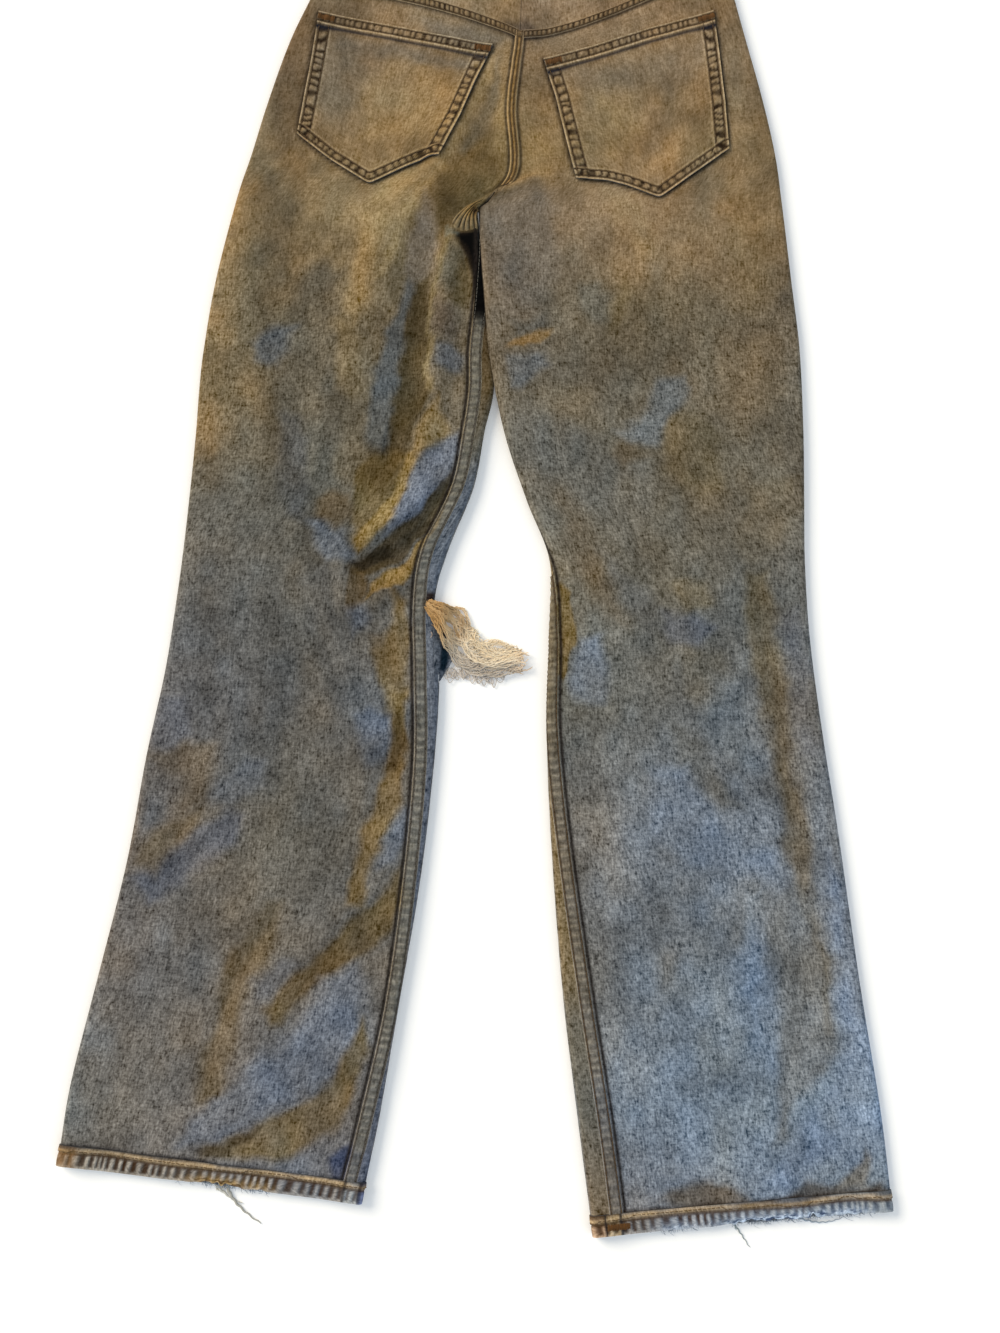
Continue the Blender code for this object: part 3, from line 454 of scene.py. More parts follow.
def facing(points, side):
    """Unit normals of a grid of points, on the outside of the cloth."""
    along_v = np.gradient(points, axis=0)
    along_g = np.gradient(points, axis=1)
    normal = np.cross(along_v, along_g) * -side
    length = np.linalg.norm(normal, axis=-1, keepdims=True)
    return normal / np.maximum(length, 1e-9)


left, right = Half(LEFT), Half(RIGHT)
HALVES = (left, right)

# The wash, with painted light in it: a painted warm cast towards the waist, a painted cool
# cast towards the hems and the folds' shading averaged in. Colours are 0 to 255 as seen, one
# row for each height: by the inner edge, in the middle of the half and by its outer edge.
WashAndLight = namedtuple("WashAndLight", "y inner middle outer")
LEFT_WASH_AND_LIGHT = [
    WashAndLight(-790, (104, 104, 108), (102, 98, 96), (112, 104, 96)),
    WashAndLight(-700, (100, 100, 102), (104, 102, 102), (113, 110, 104)),
    WashAndLight(-600, (101, 98, 94), (105, 101, 96), (111, 107, 104)),
    WashAndLight(-500, (97, 95, 92), (101, 99, 93), (105, 99, 94)),
    WashAndLight(-400, (98, 96, 94), (92, 91, 89), (99, 98, 99)),
    WashAndLight(-300, (98, 98, 96), (96, 92, 84), (103, 100, 95)),
    WashAndLight(-220, (102, 98, 88), (92, 89, 80), (106, 99, 86)),
    WashAndLight(-150, (98, 90, 74), (98, 92, 80), (122, 107, 80)),
    WashAndLight(-80, (104, 92, 72), (116, 103, 80), (124, 108, 82)),
    WashAndLight(0, (112, 96, 66), (138, 117, 84), (124, 106, 78)),
    WashAndLight(50, (126, 104, 68), (140, 116, 82), (124, 105, 77)),
    WashAndLight(120, (130, 108, 76), (130, 110, 84), (110, 93, 72)),
    WashAndLight(200, (136, 115, 88), (136, 117, 91), (112, 93, 69)),
    WashAndLight(290, (138, 117, 90), (136, 117, 90), (116, 97, 72)),
]
RIGHT_WASH_AND_LIGHT = [
    WashAndLight(-800, (110, 106, 106), (112, 118, 128), (117, 124, 132)),
    WashAndLight(-700, (120, 124, 128), (117, 131, 147), (125, 144, 166)),
    WashAndLight(-600, (113, 113, 112), (105, 114, 124), (119, 125, 134)),
    WashAndLight(-500, (114, 112, 109), (109, 115, 123), (114, 118, 123)),
    WashAndLight(-400, (106, 105, 98), (99, 100, 99), (104, 103, 101)),
    WashAndLight(-300, (112, 107, 95), (98, 98, 93), (101, 98, 91)),
    WashAndLight(-220, (110, 105, 95), (99, 92, 78), (106, 97, 82)),
    WashAndLight(-150, (110, 103, 90), (100, 92, 78), (112, 100, 81)),
    WashAndLight(-80, (107, 98, 85), (110, 99, 79), (113, 99, 79)),
    WashAndLight(0, (114, 101, 84), (141, 119, 91), (122, 105, 80)),
    WashAndLight(50, (126, 105, 70), (145, 120, 86), (122, 105, 78)),
    WashAndLight(120, (127, 106, 79), (132, 112, 84), (126, 106, 80)),
    WashAndLight(200, (140, 118, 94), (139, 118, 94), (131, 109, 81)),
    WashAndLight(290, (140, 118, 94), (139, 118, 94), (131, 109, 81)),
]
# Patches of the wash and of painted light: painted shade in the folds' valleys, creases and
# gaps, painted highlights on their ridges. Each is a plan outline whose edge fades over some
# millimetres to its own colour. Outlines hold x and y in turn.
Patch = namedtuple("Patch", "tone amount soft outline")
# Painted cool light, painted warm light, painted shade, and the painted black of deep shade.
PAINTED_COOL_LIGHT, PAINTED_WARM_LIGHT, PAINTED_SHADE, PAINTED_DEEP_SHADE = (99, 106, 118), (150, 127, 88), (74, 62, 37), (1, 1, 1)
WASH_AND_LIGHT_PATCHES = [
    # the seat and its pockets
    Patch(PAINTED_SHADE, 0.65, 9, [-22, 44, -6, 66, 16, 62, 20, 40, 16, 20, 2, 13, -8, 4, -20, -10, -30, -24, -34,
          -4, -36, 12, -30, 30]),
    Patch(PAINTED_SHADE, 0.45, 5, [-30, 26, -14, 34, 2, 26, 0, 14, -10, 4, -22, -12, -31, -26, -35, -4]),
    Patch(PAINTED_WARM_LIGHT, 0.75, 7, [8, 128, 10, 108, -4, 86, -18, 60, -32, 38, -50, 22, -60, 6, -72, -20, -82, -50,
          -88, -80, -98, -100, -106, -80, -99, -44, -91, -10, -84, 12, -70, 28, -52, 38, -36, 40, -28, 48,
          -15, 80, -3, 110]),
    Patch((168, 142, 98), 0.6, 4, [-30, 40, -26, 34, -46, 12, -60, -18, -74, -52, -82, -62, -76, -40, -62,
          -8, -50, 18]),
    Patch((106, 98, 82), 0.7, 6, [16, 128, 22, 102, 14, 76, 2, 58, -12, 46, -17, 50, -8, 66, 2, 86, 10,
          106]),
    Patch(PAINTED_WARM_LIGHT, 0.7, 5, [24, 104, 17, 86, 13, 66, 15, 48, 22, 42, 28, 60, 30, 100]),
    Patch(PAINTED_WARM_LIGHT, 0.45, 6, [34, 64, 50, 66, 56, 50, 48, 34, 36, 26, 30, 32]),
    Patch((150, 124, 84), 0.55, 14, [-92, 106, -70, 126, -50, 124, -30, 118, -16, 100, -28, 66, -46, 56,
          -72, 52, -96, 62, -94, 84]),
    Patch((110, 101, 86), 0.5, 12, [-130, 140, -104, 146, -92, 124, -98, 90, -106, 66, -128, 74, -134,
          100]),
    Patch((108, 102, 92), 0.6, 6, [-112, 150, -60, 140, -4, 127, -10, 116, -40, 124, -76, 130, -112, 138]),
    Patch(PAINTED_WARM_LIGHT, 0.55, 12, [100, 96, 124, 94, 130, 70, 122, 48, 104, 44, 98, 60]),
    Patch((110, 100, 86), 0.55, 10, [66, 118, 130, 132, 186, 152, 184, 120, 160, 102, 130, 106, 84, 104]),
    Patch((112, 102, 88), 0.4, 8, [136, 44, 144, 84, 156, 84, 152, 44]),
    Patch((108, 103, 94), 0.6, 7, [-44, 162, -10, 158, 20, 148, 28, 140, 14, 137, -10, 143, -40, 148]),
    Patch((52, 46, 46), 0.7, 5, [26, 156, 40, 160, 50, 153, 46, 142, 28, 143]),
    Patch((100, 90, 74), 0.45, 8, [-150, 110, -140, 100, -146, 60, -158, 50, -166, 80]),
    # the left thigh
    Patch((144, 120, 84), 0.7, 9, [-200, 10, -182, 20, -188, -40, -196, -80, -202, -130, -206, -200, -224,
          -210, -222, -150, -214, -80]),
    Patch((94, 84, 66), 0.6, 9, [-174, -60, -148, -56, -146, -96, -150, -170, -168, -190, -180, -140, -178,
          -90]),
    Patch((98, 89, 72), 0.75, 9, [-172, 34, -156, 34, -146, 0, -150, -40, -146, -62, -160, -66, -180, -46,
          -176, -10]),
    Patch((92, 88, 78), 0.85, 9, [-142, -50, -126, -42, -108, -52, -112, -78, -116, -96, -112, -120, -110,
          -150, -120, -172, -126, -200, -130, -240, -148, -240, -154, -200, -160, -160, -164, -136, -150,
          -112, -148, -80]),
    Patch((84, 91, 98), 0.85, 6, [-180, -112, -166, -100, -146, -96, -148, -114, -160, -128, -176, -124]),
    Patch((88, 91, 95), 0.6, 7, [-158, -170, -138, -172, -134, -200, -136, -258, -148, -250, -156, -220]),
    Patch((124, 106, 72), 0.6, 6, [-114, -90, -98, -100, -90, -126, -88, -150, -98, -162, -108, -150, -112,
          -125]),
    Patch((114, 103, 82), 0.6, 8, [-88, -100, -78, -104, -82, -150, -86, -200, -98, -230, -112, -220, -106,
          -170, -96, -130]),
    Patch((122, 111, 98), 0.9, 4.5, [-44, 18, -38, 8, -34, -12, -31, -30, -34, -48, -42, -60, -52, -64,
          -59, -56, -56, -34, -48, -8]),
    Patch((82, 87, 90), 0.95, 4.5, [-56, -60, -48, -64, -52, -80, -58, -98, -62, -130, -66, -170, -70,
          -208, -84, -208, -84, -165, -80, -132, -74, -104, -64, -78]),
    Patch(PAINTED_SHADE, 0.97, 3, [-39, -56, -44, -62, -54, -76, -58, -96, -61, -130, -64, -165, -72, -204, -58,
          -206, -52, -184, -46, -168, -41, -150, -39, -110, -37, -80]),
    Patch((104, 88, 54), 0.92, 4, [-72, -200, -56, -200, -52, -207, -58, -226, -66, -248, -80, -268, -94,
          -276, -100, -262, -96, -240, -92, -214, -84, -202]),
    Patch((84, 70, 40), 0.7, 6, [-82, -196, -60, -198, -58, -214, -66, -228, -80, -224, -90, -228, -90,
          -206]),
    Patch((144, 120, 72), 0.85, 3, [-54, -194, -48, -204, -56, -228, -64, -250, -80, -269, -94, -278, -96,
          -268, -84, -258, -70, -236, -60, -212]),
    # the pillow of cloth along its inseam
    Patch((112, 104, 90), 0.7, 5, [-22, -24, -8, -40, -4, -90, -8, -130, -12, -180, -28, -196, -40, -170,
          -38, -110, -34, -60]),
    Patch((132, 118, 84), 0.7, 2, [-23, -20, -30, -44, -36, -70, -40, -100, -42, -150, -37, -152, -36,
          -100, -32, -70, -26, -44, -19, -22]),
    Patch((88, 86, 74), 0.7, 5, [-20, -24, -12, -34, -10, -50, -14, -66, -24, -72, -30, -60, -27, -44]),
    Patch((84, 72, 44), 0.8, 5, [-15, -36, -4, -44, -3, -70, -10, -86, -22, -78, -17, -56]),
    Patch((112, 117, 124), 0.8, 4, [-34, -112, -22, -112, -12, -122, -12, -136, -26, -140, -34, -130]),
    Patch((104, 94, 86), 0.6, 5, [-31, -78, -20, -84, -15, -104, -24, -110, -35, -100]),
    Patch((146, 120, 74), 0.8, 4, [-52, -188, -42, -166, -34, -150, -32, -166, -27, -178, -27, -192, -40,
          -196, -50, -206]),
    Patch((102, 109, 122), 0.9, 4, [-18, -186, -13, -200, -16, -220, -30, -234, -44, -246, -60, -262, -72,
          -268, -68, -252, -60, -236, -52, -214, -44, -200, -30, -196]),
    Patch((24, 18, 12), 1.0, 5, [-21, -19, 3, -17, 12, -104, 1, -100, -4, -60, -9, -42, -16, -28]),
    Patch(PAINTED_DEEP_SHADE, 1.0, 2, [-19, -20, -10, -21, 3, -19, 9, -88, -0.5, -84, -3, -60, -4.5, -42, -8, -32,
          -14, -26]),
    Patch((122, 124, 112), 0.7, 2, [-25, -16, -15, -19, -14, -21.5, -21, -21.5, -25, -25]),
    # the crease behind the left knee
    Patch((68, 57, 34), 0.96, 2.5, [-15, -216, -26, -226, -42, -240, -58, -258, -72, -272, -90, -282, -104,
          -287, -100, -297, -86, -298, -72, -296, -58, -290, -50, -284, -36, -264, -27, -246, -20, -230]),
    Patch((36, 31, 22), 0.9, 3, [-101, -286, -82, -277, -68, -274, -64, -284, -78, -290, -94, -292]),
    Patch((86, 71, 45), 0.9, 3, [-103, -290, -88, -294, -84, -306, -88, -326, -96, -336, -101, -320]),
    Patch((146, 121, 70), 0.9, 3, [-18, -228, -24, -244, -34, -264, -48, -286, -56, -293, -70, -298, -82,
          -304, -86, -324, -80, -314, -66, -312, -56, -306, -48, -294, -36, -274, -27, -258]),
    Patch((104, 113, 126), 0.8, 5, [-134, -256, -122, -256, -106, -268, -96, -279, -104, -289, -120, -290,
          -128, -276]),
    Patch((103, 84, 55), 0.75, 5, [-128, -254, -128, -238, -118, -232, -100, -236, -96, -256, -112, -262]),
    Patch((84, 86, 88), 0.65, 9, [-122, -292, -104, -294, -102, -330, -92, -350, -90, -400, -104, -410,
          -118, -380, -128, -340, -138, -300]),
    Patch((116, 96, 58), 0.85, 5, [-68, -312, -54, -320, -52, -350, -54, -400, -57, -430, -66, -436, -73,
          -400, -76, -362, -64, -338]),
    Patch((90, 73, 42), 0.7, 5, [-78, -346, -60, -342, -60, -368, -74, -380]),
    Patch(PAINTED_COOL_LIGHT, 0.7, 5, [-98, -328, -84, -326, -78, -336, -92, -348]),
    Patch((98, 106, 119), 0.8, 6, [-94, -410, -84, -404, -70, -412, -64, -430, -72, -446, -86, -446, -92,
          -430]),
    # the left calf and shin
    Patch((112, 92, 54), 0.88, 4, [-66, -388, -55, -392, -55, -420, -56, -450, -58, -474, -70, -490, -78,
          -520, -83, -556, -96, -552, -89, -520, -88, -496, -84, -480, -75, -460, -69, -440, -66, -420]),
    Patch((66, 53, 31), 0.85, 4, [-66, -410, -58, -410, -57, -432, -62, -452, -70, -452, -68, -432]),
    Patch((96, 79, 46), 0.92, 4, [-55, -524, -51, -545, -60, -558, -70, -572, -88, -590, -110, -606, -130,
          -624, -150, -644, -156, -628, -138, -608, -120, -594, -108, -576, -96, -562, -78, -554, -66,
          -542]),
    Patch(PAINTED_COOL_LIGHT, 0.7, 5, [-60, -478, -70, -500, -74, -530, -62, -522, -53, -500, -51, -480]),
    Patch((87, 92, 104), 0.8, 6, [-262, -532, -246, -552, -222, -536, -200, -524, -180, -506, -174, -486,
          -190, -482, -206, -492, -226, -504, -242, -516]),
    Patch((91, 96, 104), 0.65, 6, [-204, -470, -186, -480, -164, -460, -158, -440, -176, -442, -192, -456]),
    Patch((116, 101, 76), 0.7, 6, [-258, -520, -244, -532, -226, -508, -206, -492, -206, -478, -226, -488,
          -244, -496, -256, -506]),
    Patch((104, 92, 75), 0.7, 7, [-250, -442, -222, -430, -200, -432, -198, -450, -206, -474, -226, -484,
          -222, -460, -236, -450]),
    Patch((92, 97, 108), 0.65, 6, [-242, -396, -222, -392, -220, -425, -236, -436, -248, -430]),
    Patch((96, 101, 108), 0.55, 6, [-250, -455, -230, -460, -238, -492, -256, -496]),
    Patch((98, 84, 58), 0.72, 6, [-162, -552, -146, -550, -152, -584, -168, -606, -176, -640, -190, -690,
          -206, -696, -202, -660, -192, -620, -184, -590, -172, -570]),
    Patch((97, 102, 112), 0.6, 6, [-166, -604, -148, -594, -130, -598, -142, -612, -160, -624]),
    Patch((101, 110, 125), 0.7, 7, [-116, -606, -100, -604, -88, -594, -82, -620, -90, -660, -106, -680,
          -130, -690, -160, -700, -190, -724, -220, -726, -212, -706, -180, -680, -160, -662, -136, -648,
          -124, -630]),
    Patch((101, 85, 53), 0.92, 5, [-84, -634, -78, -660, -90, -690, -100, -712, -120, -728, -150, -740,
          -202, -736, -198, -726, -172, -716, -150, -706, -128, -696, -108, -684, -98, -664]),
    Patch((52, 43, 28), 0.8, 3, [-206, -734, -196, -726, -170, -715, -156, -712, -170, -724, -186, -736]),
    Patch((104, 106, 112), 0.6, 5, [-140, -742, -110, -724, -98, -716, -92, -730, -104, -748, -130, -750]),
    Patch((46, 60, 92), 0.85, 4, [-106, -736, -90, -726, -76, -734, -78, -754, -106, -752]),
    # the right thigh
    Patch((107, 99, 89), 0.75, 9, [4, -6, 20, 8, 40, 14, 60, 14, 62, -20, 60, -60, 48, -92, 24, -96, 10,
          -70, 6, -40]),
    Patch((70, 56, 30), 0.8, 2, [38, 30, 28, 20.5, 14, 14.5, 2, 11, 0, 14, 14, 18, 24, 24, 34, 34]),
    Patch((136, 112, 74), 0.65, 5, [60, 26, 44, 20, 30, 15, 20, 11, 12, 10, 22, 20, 36, 30, 50, 40, 60,
          38]),
    Patch((152, 129, 95), 0.75, 8, [104, 14, 118, 8, 134, 0, 142, -30, 142, -42, 132, -42, 122, -30, 110,
          -12]),
    Patch((140, 118, 88), 0.5, 14, [160, 0, 196, 4, 200, -30, 184, -60, 164, -50, 158, -24]),
    Patch((99, 99, 92), 0.65, 6, [80, -66, 96, -60, 107, -76, 104, -94, 92, -94, 82, -84]),
    Patch((100, 86, 57), 0.65, 5, [118, -54, 123, -72, 113, -96, 101, -106, 106, -86, 112, -70]),
    Patch((132, 104, 60), 0.85, 3, [21, -114, 36, -108, 52, -100, 61, -103, 52, -114, 36, -118]),
    Patch((101, 108, 115), 0.8, 5, [22, -122, 34, -124, 50, -122, 57, -131, 46, -138, 36, -150, 24, -148]),
    Patch((96, 97, 94), 0.6, 5, [22, -90, 40, -94, 56, -86, 60, -96, 48, -101, 30, -107]),
    Patch((101, 106, 109), 0.8, 5, [140, -142, 160, -138, 167, -150, 158, -164, 148, -180, 138, -197, 120,
          -193, 108, -184, 124, -176, 134, -160]),
    Patch((103, 102, 97), 0.65, 12, [30, -176, 56, -176, 80, -186, 104, -200, 136, -208, 140, -240, 130,
          -290, 104, -280, 84, -250, 60, -230, 38, -200]),
    Patch((108, 94, 67), 0.6, 9, [144, -186, 158, -168, 172, -170, 192, -190, 192, -232, 160, -238, 146,
          -214]),
    Patch((94, 78, 54), 0.6, 5, [112, -190, 126, -194, 133, -206, 118, -213, 107, -204]),
    Patch((118, 106, 86), 0.6, 9, [38, -152, 60, -142, 90, -150, 100, -180, 80, -180, 56, -168]),
    Patch((124, 104, 70), 0.45, 14, [200, 20, 232, 16, 238, -20, 230, -80, 212, -86, 200, -40]),
    Patch((102, 97, 87), 0.6, 7, [238, -70, 252, -60, 258, -130, 256, -220, 243, -220, 241, -140]),
    # the right knee
    Patch((114, 94, 50), 0.92, 3, [63, -306, 72, -312, 75, -350, 69, -382, 61, -376, 61, -330]),
    Patch((103, 91, 73), 0.6, 9, [44, -220, 62, -222, 74, -238, 86, -262, 96, -290, 110, -322, 114, -346,
          100, -332, 80, -302, 70, -272, 64, -250]),
    Patch((107, 117, 131), 0.75, 6, [78, -350, 96, -344, 101, -370, 95, -398, 80, -398, 73, -380]),
    Patch((92, 98, 110), 0.75, 6, [142, -328, 166, -330, 184, -343, 172, -356, 150, -352]),
    Patch((98, 102, 106), 0.5, 8, [94, -280, 112, -292, 134, -318, 146, -340, 132, -346, 110, -316]),
    Patch((94, 90, 80), 0.6, 7, [146, -414, 158, -416, 178, -438, 192, -460, 200, -484, 184, -482, 170,
          -466, 154, -446]),
    Patch((102, 88, 60), 0.75, 6, [204, -300, 226, -296, 229, -320, 231, -350, 233, -380, 237, -420, 243,
          -460, 251, -480, 254, -520, 252, -566, 240, -540, 232, -500, 230, -470, 225, -430, 212, -390,
          208, -340]),
    Patch((100, 103, 110), 0.6, 6, [236, -336, 246, -326, 254, -400, 260, -440, 246, -440, 238, -400]),
    Patch((107, 93, 69), 0.5, 9, [206, -226, 250, -226, 247, -262, 224, -292, 206, -300, 202, -260]),
    Patch((113, 102, 76), 0.6, 5, [150, -308, 176, -306, 182, -322, 160, -326]),
    Patch((109, 100, 82), 0.6, 8, [160, -356, 186, -360, 194, -384, 176, -408, 162, -392]),
    Patch((116, 129, 147), 0.7, 9, [134, -455, 160, -448, 176, -470, 188, -492, 204, -512, 226, -508, 230,
          -540, 206, -534, 160, -522, 134, -500]),
    Patch((103, 111, 118), 0.6, 8, [180, -378, 202, -384, 206, -420, 218, -452, 202, -452, 180, -432, 168,
          -410]),
    # the right shin
    Patch((108, 109, 108), 0.8, 7, [234, -540, 252, -540, 258, -570, 263, -610, 267, -660, 252, -678, 237,
          -692, 231, -724, 221, -724, 224, -690, 226, -640, 218, -600, 216, -572]),
    Patch((96, 90, 76), 0.6, 4, [256, -540, 262, -600, 266, -650, 261, -650, 257, -610, 252, -560]),
    Patch((121, 138, 163), 0.7, 7, [264, -510, 274, -560, 284, -620, 293, -680, 302, -732, 282, -742, 262,
          -738, 240, -746, 226, -756, 214, -750, 232, -728, 246, -700, 266, -682, 273, -640, 266, -580]),
    Patch((107, 107, 106), 0.65, 12, [128, -530, 148, -536, 158, -560, 156, -590, 140, -608, 126, -590]),
    Patch((111, 128, 149), 0.5, 14, [150, -604, 200, -590, 214, -620, 214, -680, 196, -742, 160, -742, 136,
          -700, 138, -650]),
    Patch((116, 136, 162), 0.5, 6, [202, -540, 214, -540, 214, -600, 212, -640, 203, -620]),
    Patch((80, 67, 46), 0.85, 5, [134, -768, 146, -759, 158, -754, 172, -752, 184, -757, 202, -762, 202,
          -770, 170, -772]),
    Patch((70, 58, 38), 0.85, 4, [220, -766, 232, -756, 242, -752, 256, -758, 276, -759, 300, -752, 302,
          -762, 270, -768, 240, -770]),
    Patch((96, 86, 66), 0.75, 4, [262, -760, 270, -748, 278, -738, 288, -727, 293, -733, 286, -756]),
    Patch((104, 90, 64), 0.55, 8, [166, 36, 198, 50, 194, 88, 176, 78]),
    Patch((110, 118, 130), 0.5, 5, [100, -750, 124, -758, 140, -750, 120, -735, 104, -730]),
]


def linear(colour):
    """Linear red, green and blue from values of 0 to 255 as seen."""
    seen = np.asarray(colour, float) / 255
    return np.where(seen < 0.04045, seen / 12.92, ((seen + 0.055) / 1.055) ** 2.4)


def blend(colour, other, amount):
    return colour + (linear(other) - colour) * amount[..., None]


def wash(x, y, patches=True):
    """Colour of the worn denim at plan places: wash, painted warm and cool light and painted shade."""
    colour = np.zeros(x.shape + (3,))
    for table, half, mine in ((LEFT_WASH_AND_LIGHT, left, x < split_line(y)), (RIGHT_WASH_AND_LIGHT, right, x >= split_line(y))):
        ys = [row.y for row in table]
        edge_out = np.interp(y, half.outer_y, half.outer_x)
        inner_ys = [row.inner_y for row in half.legs] + [row.back_y for row in SEAT[1:]]
        inner_xs = [row.inner_x for row in half.legs] + [row.back_x for row in SEAT[1:]]
        edge_in = np.interp(y, inner_ys, inner_xs)
        part = np.clip((x - edge_in) / (edge_out - edge_in), 0.0, 1.0)
        weights = [np.clip(1 - 2 * part, 0, 1), 1 - np.abs(2 * part - 1), np.clip(2 * part - 1, 0, 1)]
        found = 0
        for name, weight in zip(("inner", "middle", "outer"), weights):
            column = linear([getattr(row, name) for row in table])
            at = np.stack([np.interp(y, ys, column[:, k]) for k in range(3)], axis=-1)
            found = found + at * weight[..., None]
        colour = np.where(mine[..., None], found, colour)
    if patches:
        wobble_x = x + 4 * waves(x, y, 23, 11) + 2 * waves(x, y, 8, 12)
        wobble_y = y + 4 * waves(x, y, 23, 13) + 2 * waves(x, y, 8, 14)
        uneven = 0.86 + 0.14 * waves(x, y, 15, 15)
        for patch in WASH_AND_LIGHT_PATCHES:
            if patch.amount == 1.0:      # a gap in deep shade: sharp, and on the left half only
                here = inside_outline(patch.outline, patch.soft, x, y) * smooth(split_line(y) + 0.5 - x)
            else:
                soft = patch.soft * (1.0 if patch.soft <= 3 else 1.9)
                here = patch.amount * uneven * inside_outline(patch.outline, soft, wobble_x, wobble_y)
            colour = blend(colour, patch.tone, here)
    bright = 1 + 0.22 * waves(x, y, 26, 21) + 0.14 * waves(x, y, 11, 22) + 0.10 * waves(x, y * 0.6, 4.6, 23)
    warm = 0.07 * waves(x, y * 0.6, 30, 24) + 0.045 * waves(x, y * 0.7, 13, 25)
    return colour * np.stack([bright * (1 + warm), bright, bright * (1 - 1.3 * warm)], axis=-1)


def split_line(y):
    """The plan line between the two halves."""
    return np.interp(y, [-800, -240, -185, -118, -60, 0, 30, 150, 300], [20, 18, 13, 9, 4.5, 0, 28, 33, 39])


class Socket:
    """A socket of a material's nodes. Sums and products of sockets add Math nodes."""

    def __init__(self, socket):
        self.socket = socket

    @staticmethod
    def node(tree, kind, settings=None, inputs=None, output=0):
        """Adds a node: its settings first, then the values or links of its sockets."""
        made = tree.nodes.new(kind)
        for name, value in (settings or {}).items():
            if name == "stops":
                ramp = made.color_ramp
                while len(ramp.elements) < len(value):
                    ramp.elements.new(0.5)
                for element, (at, colour) in zip(ramp.elements, value):
                    element.position = at
                    element.color = (*colour, 1.0)
            else:
                setattr(made, name, value)
        for key, value in (inputs or {}).items():
            if isinstance(value, Socket):
                tree.links.new(value.socket, made.inputs[key])
            else:
                made.inputs[key].default_value = value
        return Socket(made.outputs[output])

    def math(self, operation, first, second=0.0, clamp=False):
        settings = {"operation": operation, "use_clamp": clamp}
        return Socket.node(self.socket.id_data, "ShaderNodeMath", settings, {0: first, 1: second})

    def __add__(self, other):
        return self.math("ADD", self, other)

    __radd__ = __add__

    def __sub__(self, other):
        return self.math("SUBTRACT", self, other)

    def __rsub__(self, other):
        return self.math("SUBTRACT", other, self)

    def __mul__(self, other):
        return self.math("MULTIPLY", self, other)

    __rmul__ = __mul__


def mixed(tree, factor, first, second, mode="MIX"):
    """A Mix node between two colours."""
    settings = {"data_type": "RGBA", "blend_type": mode, "clamp_result": False}
    return Socket.node(tree, "ShaderNodeMix", settings, {0: factor, 6: first, 7: second}, output=2)


def denim_finish(name, contrast, pale=0.5):
    """Twill whose indigo warp is worn through to the white weft; the mesh holds wash and painted light."""
    made = bpy.data.materials.new(name)
    made.use_nodes = True
    tree = made.node_tree
    node = Socket.node
    grain = node(tree, "ShaderNodeUVMap", {"uv_map": "grain"})
    colour_and_shade = node(tree, "ShaderNodeAttribute", {"attribute_name": "wash"})

    def noise(across, along, detail, seed):
        stretched = node(tree, "ShaderNodeMapping", None, {
            "Vector": grain, "Scale": (1000 / across, 1000 / along, 1), "Location": (seed, seed * 0.7, 0)})
        return node(tree, "ShaderNodeTexNoise", {"noise_dimensions": "2D"}, {
            "Vector": stretched, "Scale": 1.0, "Detail": detail, "Roughness": 0.6})

    fleck = noise(1.6, 2.0, 2.0, 3.1)
    blotch = noise(3.6, 4.6, 2.0, 12.9)
    warp, weft = noise(1.3, 6.5, 1.0, 8.3), noise(5.5, 1.4, 1.0, 17.7)
    cloud = noise(9.0, 17.0, 2.0, 5.7)
    tilted = node(tree, "ShaderNodeMapping", None, {"Vector": grain, "Rotation": (0, 0, math.radians(27))})
    twill = node(tree, "ShaderNodeTexWave", {"wave_type": "BANDS", "bands_direction": "X"}, {
        "Vector": tilted, "Scale": 300.0, "Distortion": 1.6, "Detail": 1.0, "Detail Scale": 2.0})
    uneven = ((fleck - 0.5) * 1.1 + (blotch - 0.5) * 1.0 + (warp - 0.5) * 0.85 + (weft - 0.5) * 0.6
              + (cloud - 0.5) * 0.6)
    bare = (fleck * 0.5 + warp * 0.5 - 0.55) * 5.0
    strength = node(tree, "ShaderNodeAttribute", {"attribute_name": "wash"}, output=3) * contrast
    tone = (uneven + (twill - 0.5) * 0.07 + bare.math("MULTIPLY", bare, pale, clamp=True) * 0.25) * strength
    tone = tone.math("MAXIMUM", tone, -0.85)
    grey = node(tree, "ShaderNodeRGBToBW", None, {"Color": colour_and_shade})
    body = mixed(tree, 0.35, colour_and_shade, grey)
    change = node(tree, "ShaderNodeVectorMath", {"operation": "SCALE"}, {0: body, "Scale": tone})
    base = node(tree, "ShaderNodeVectorMath", {"operation": "ADD"}, {0: colour_and_shade, 1: change})
    base = node(tree, "ShaderNodeVectorMath", {"operation": "MAXIMUM"}, {0: base, 1: (0.0, 0.0, 0.0)})
    height = fleck * 0.4 + warp * 0.35 + weft * 0.25 + twill * 0.3
    bump = node(tree, "ShaderNodeBump", None, {"Strength": 0.45, "Distance": 0.0006, "Height": height})
    shader = tree.nodes["Principled BSDF"]
    tree.links.new(base.socket, shader.inputs["Base Color"])
    tree.links.new(bump.socket, shader.inputs["Normal"])
    tree.links.new((fleck * 0.15 + 0.82).socket, shader.inputs["Roughness"])
    shader.inputs["Specular IOR Level"].default_value = 0.04
    shader.inputs["Sheen Weight"].default_value = 0.02
    shader.inputs["Sheen Roughness"].default_value = 0.6
    return made


INSIDE = (118, 122, 128)      # the weft side of the denim, paler and bluer


def to_world(points):
    return (np.asarray(points, float) - (CENTRE_X, CENTRE_Y, 0)) * 0.001


